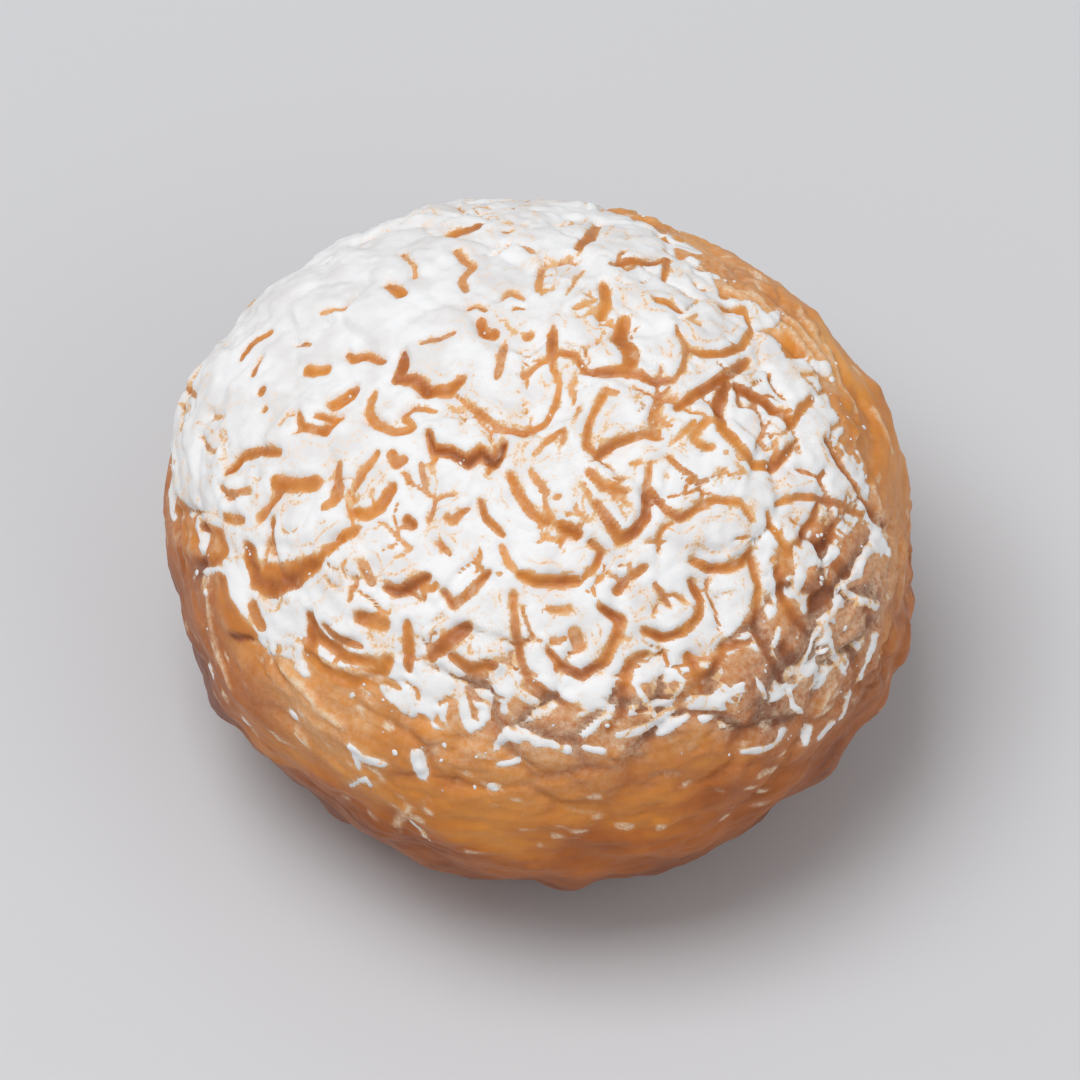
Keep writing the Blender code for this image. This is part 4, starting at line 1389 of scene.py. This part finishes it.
@dataclass
class SugarLayer:
    """Powdered sugar that covers the plates, ends at each crack and dives under the crust elsewhere."""

    shell: Shell
    crust: bpy.types.Object
    cover: SugarCover = field(default_factory=SugarCover)
    finish: PowderedSugar = field(default_factory=PowderedSugar)
    # How much a slope moves the sugar's edge, and how far the sugar fills the creases under it
    slope: float = 0.9
    bridging: float = 0.45
    # Where the bun's underside starts, as a share of its rise, and how deep the layer lies inside it there
    underside: float = -0.12
    underside_depth: float = 1.5
    # Distance inside the edge that the layer counts with at most, and what fine lines and creases take off it
    whole: float = 0.42
    fine_wear: float = 0.60
    crease_wear: float = 0.55
    # Dust on the bare crust: beside the sugar, in half-bare cracks, on the folds, on the plates of the
    # broken parts, in flecks lower down, and as a haze near the sugar and farther out
    edge_dust: float = 0.50
    crack_dust: float = 0.65
    fold_dust: float = 0.75
    plate_dust: float = 0.30
    fleck_dust: float = 0.85
    near_haze: float = 0.22
    far_haze: float = 0.07
    dusty: tuple[Patch, ...] = (
        Patch(-35.0, 17.0, 5.5, 0.28),
        Patch(-130.0, 18.0, 4.0, 0.30),
        Patch(50.0, 38.0, 5.0, 0.25),
        Patch(-12.0, 18.0, 4.0, 0.30),
        Patch(-90.0, 30.0, 6.0, 0.20),
    )

    def amount(self) -> np.ndarray:
        """How far inside the sugar each vertex is, in millimetres: above 0 where it covers the crust.

        Returns:
            Distance at each vertex.
        """
        shell = self.shell
        within = self.cover.within(shell.unit)
        steep = normals_of(self.crust.data)[:, 2] - shell.outward[:, 2]
        open_crack = shell.cracks.edge + 0.14 * (1.0 - shell.cracks.bare)
        open_crack = np.minimum(open_crack, shell.ticks.edge + 0.25 - 0.25 * shell.ticks.bare)
        inside = np.minimum(open_crack, within + self.slope * steep)
        broken = self.cover.broken_share(shell.unit)
        flat = shell.unit * RADIUS
        loose = 0.16 * waves(flat, 2.2, SEED + 75) + 0.10 * waves(flat, 1.0, SEED + 76)
        rim = 0.40 - np.abs(shell.to_crease - 0.50) - 0.6 * smoothstep(-0.2, 0.6, shell.lower_border) + loose
        rim = np.minimum(rim, within + 2.5)
        inside = inside * (1.0 - broken) + np.minimum(rim, open_crack) * broken
        rubbed = smoothstep(0.1, 1.2, waves(flat, 5.5, SEED + 77))
        crease_line = smoothstep(0.28, 0.02, shell.to_crease) * rubbed
        keep = 1.0 - 0.65 * smoothstep(0.1, 0.8, self.cover.thick_share(shell.unit))
        wear = np.maximum(self.fine_wear * shell.fine_lines, self.crease_wear * crease_line)
        worn = self.whole - keep * wear
        return np.maximum(np.minimum(inside, worn), 0.10 - 1.6 * shell.dabs.edge)

    def build(self) -> bpy.types.Object:
        """Make the sugar layer and dust the crust around it.

        Returns:
            The sugar object.
        """
        shell = self.shell
        amount = self.amount()
        covered = smoothstep(0.0, 0.30, amount)
        depth = self.cover.depth(shell.unit)
        filled = -self.bridging * (shell.plate_crease + shell.facets) * covered
        clumps = 0.022 * waves(shell.unit * RADIUS, 1.0, SEED + 73) * covered
        lift = np.where(amount > 0.0, depth * covered + 0.05 * np.minimum(amount, 0.3), 1.3 * amount)
        lift = np.clip(lift, -self.cover.hidden, None)
        under = shell.unit[:, 2] < self.underside
        lift = np.where(under, -self.underside_depth, lift + filled + clumps)
        piece = shell.piece("sugar", shell.crust_height + lift)
        dense = smoothstep(0.02, 0.16, depth - self.cover.thin_depth)
        thick = np.maximum(smoothstep(-0.12, 0.30, amount), smoothstep(0.1, -0.2, shell.dabs.edge))
        set_share(piece.data, "thick", thick)
        set_share(piece.data, "dense", dense)
        set_share(piece.data, "from_crack", np.clip(shell.cracks.edge, -1.0, 3.0))
        self.dust_crust(amount)
        piece.data.materials.append(self.finish.material(layered=True))
        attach(piece, BODY)
        self.inside = amount
        return piece

    def dust_crust(self, amount: np.ndarray) -> None:
        """Store how much loose sugar lies on the bare crust.

        Args:
            amount: How far inside the sugar each vertex is, in millimetres.
        """
        shell = self.shell
        in_crack = smoothstep(0.1, -0.1, np.minimum(shell.cracks.edge, shell.ticks.edge))
        hazy = np.where(shell.ticks.edge < shell.cracks.edge, shell.ticks.bare, shell.cracks.bare)
        broken = self.cover.broken_share(shell.unit)
        on_plate = broken * smoothstep(0.25, 0.8, shell.to_crease) * (1.0 - in_crack)
        flat = shell.unit * RADIUS
        fleck = waves(flat, 1.5, SEED + 78) + 0.6 * waves(flat, 4.5, SEED + 79)
        lower = smoothstep(-0.25, 0.05, shell.unit[:, 2]) * smoothstep(0.5, -1.0, amount)
        within = self.cover.within(shell.unit)
        haze = self.near_haze * smoothstep(-3.2, 0.0, within) + self.far_haze * smoothstep(-9.0, -2.0, within)
        layers = (
            self.edge_dust * smoothstep(-0.20, 0.08, amount) * (1.0 - 0.5 * in_crack),
            self.crack_dust * in_crack * (1.0 - hazy),
            self.fold_dust * shell.folds.trough(),
            self.plate_dust * on_plate,
            self.fleck_dust * smoothstep(1.7, 2.5, fleck) * lower,
            haze * (1.0 - 0.8 * in_crack) * (0.8 + 0.3 * waves(flat, 2.6, SEED + 81)),
        )
        dust = np.maximum.reduce(layers)
        spread = sum(patch.share(shell.unit) for patch in self.dusty)
        dust = dust + spread * (1.0 - dust) * (1.0 - 0.7 * in_crack)
        set_share(self.crust.data, "dust", np.clip(dust, 0.0, 1.0))


@dataclass
class SugarClumps:
    """Loose clumps of sugar where the layer thins out and on the bare lower side."""

    shell: Shell
    crust: bpy.types.Object
    amount: np.ndarray
    count: int = 90
    smallest_mm: float = 0.06
    largest_mm: float = 0.20
    # Narrowest and widest share of a clump's size, its height as a share of it, and its unevenness
    spread: tuple[float, float] = (0.7, 1.4)
    flatness: float = 0.5
    uneven_mm: float = 0.014
    finish: PowderedSugar = field(default_factory=PowderedSugar)

    def build(self) -> bpy.types.Object:
        """Scatter the clumps as one piece.

        Returns:
            The object with all the clumps.
        """
        rng = np.random.default_rng(SEED + 90)
        up = normals_of(self.crust.data)
        chance = smoothstep(-7.0, -0.3, self.amount) ** 3 * smoothstep(-0.1, -0.3, self.amount)
        chance = chance * smoothstep(-0.25, 0.25, self.shell.unit[:, 2]) * smoothstep(0.05, 0.5, up[:, 2])
        chosen = rng.choice(len(chance), self.count, replace=False, p=chance / chance.sum())
        places = self.shell.place(self.shell.crust_height)
        clumps = bmesh.new()
        for index in chosen:
            size = self.smallest_mm + (self.largest_mm - self.smallest_mm) * rng.random() ** 2.5
            wide = rng.uniform(*self.spread, 2)
            sides = (size * MM * wide[0], size * MM * wide[1], self.flatness * size * MM)
            squash = Matrix.Diagonal((*sides, 1.0))
            turn = Vector(up[index]).to_track_quat("Z", "X").to_matrix().to_4x4()
            spin = Matrix.Rotation(rng.uniform(0.0, math.tau), 4, "Z")
            where = Matrix.Translation(Vector(places[index])) @ turn @ spin @ squash
            bmesh.ops.create_icosphere(clumps, subdivisions=2, radius=1.0, matrix=where)
        for vert in clumps.verts:
            vert.co += Vector(rng.normal(scale=self.uneven_mm * MM, size=3))
        mesh = mesh_of(clumps, "sugar_clumps")
        mesh.shade_smooth()
        piece = add_object("sugar_clumps", mesh)
        piece.data.materials.append(self.finish.material(layered=False))
        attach(piece, BODY)
        return piece


@dataclass
class Studio:
    """Plain pale floor, soft lights and the camera."""

    floor_code: str = "#d3d4d7"
    floor_roughness: float = 0.8
    # The floor's side and the nearest that the camera sees, in metres
    floor_size: float = 4.0
    near_clip: float = 0.01
    lens_mm: float = 330.0
    aim_height_mm: float = 15.5
    light_aim_mm: float = 15.0
    sensor_mm: float = 36.0
    # Each light's name, place and side in metres, and power in watts
    lights: tuple[tuple[str, tuple[float, float, float], float, float], ...] = (
        ("key", (-0.20, -0.04, 0.68), 0.42, 3.0),
        ("fill", (0.50, -0.40, 0.42), 0.60, 0.9),
    )
    sky: float = 0.40

    def build(self) -> None:
        """Make the floor, the lights, the world and the camera."""
        self.make_floor()
        for light in self.lights:
            self.make_light(*light)
        self.make_camera()
        world = bpy.data.worlds.new("studio")
        bpy.context.scene.world = world
        world.use_nodes = True
        back = world.node_tree.nodes["Background"]
        back.inputs["Color"].default_value = (1.0, 1.0, 1.0, 1.0)
        back.inputs["Strength"].default_value = self.sky
        bpy.context.scene.view_settings.view_transform = Tone.PLAIN.value

    def make_floor(self) -> None:
        """Plain pale floor at the foot of the bun."""
        sheet = bmesh.new()
        bmesh.ops.create_grid(sheet, x_segments=1, y_segments=1, size=self.floor_size / 2.0)
        floor = add_object("floor", mesh_of(sheet, "floor"))
        # Matt paint. To the eye it is an even, slightly cool ground that leaves the bun its colours
        material = bpy.data.materials.new("pale_floor_paint")
        material.use_nodes = True
        inputs = {"Base Color": linear(self.floor_code), "Roughness": self.floor_roughness}
        feed(material.node_tree, material.node_tree.nodes["Principled BSDF"], inputs)
        floor.data.materials.append(material)

    def make_light(self, name: str, place: tuple[float, float, float], size: float, power: float) -> None:
        """Add one soft square light that faces the bun.

        Args:
            name: Name of the light.
            place: Place in metres.
            size: Side in metres.
            power: Power in watts.
        """
        light = bpy.data.lights.new(name, "AREA")
        light.size = size
        light.energy = power
        lamp = add_object(name, light)
        lamp.location = place
        towards = Vector((0.0, 0.0, self.light_aim_mm * MM)) - Vector(place)
        lamp.rotation_euler = towards.to_track_quat("-Z", "Y").to_euler()

    def make_camera(self) -> None:
        """Camera on the line of sight of the photograph."""
        rise = math.radians(SIGHT)
        aim = Vector((0.0, 0.0, self.aim_height_mm * MM))
        back = Vector((0.0, -math.cos(rise), math.sin(rise)))
        data = bpy.data.cameras.new("camera")
        data.lens = self.lens_mm
        data.sensor_width = self.sensor_mm
        data.clip_start = self.near_clip
        camera = add_object("camera", data)
        camera.location = aim + back * (DISTANCE * MM)
        camera.rotation_euler = (-back).to_track_quat("-Z", "Y").to_euler()
        bpy.context.scene.camera = camera


def main() -> None:
    """Build the bun and the studio in order."""
    logging.basicConfig(level=logging.INFO, format="%(name)s: %(message)s")
    Studio().build()
    shell = Shell()
    shell.build()
    crust = Crust(shell).build()
    LOG.info("crust: %d vertices", len(crust.data.vertices))
    layer = SugarLayer(shell, crust)
    sugar = layer.build()
    LOG.info("sugar: %d vertices", len(sugar.data.vertices))
    clumps = SugarClumps(shell, crust, layer.inside).build()
    LOG.info("sugar clumps: %d vertices", len(clumps.data.vertices))


if __name__ == "__main__":
    main()
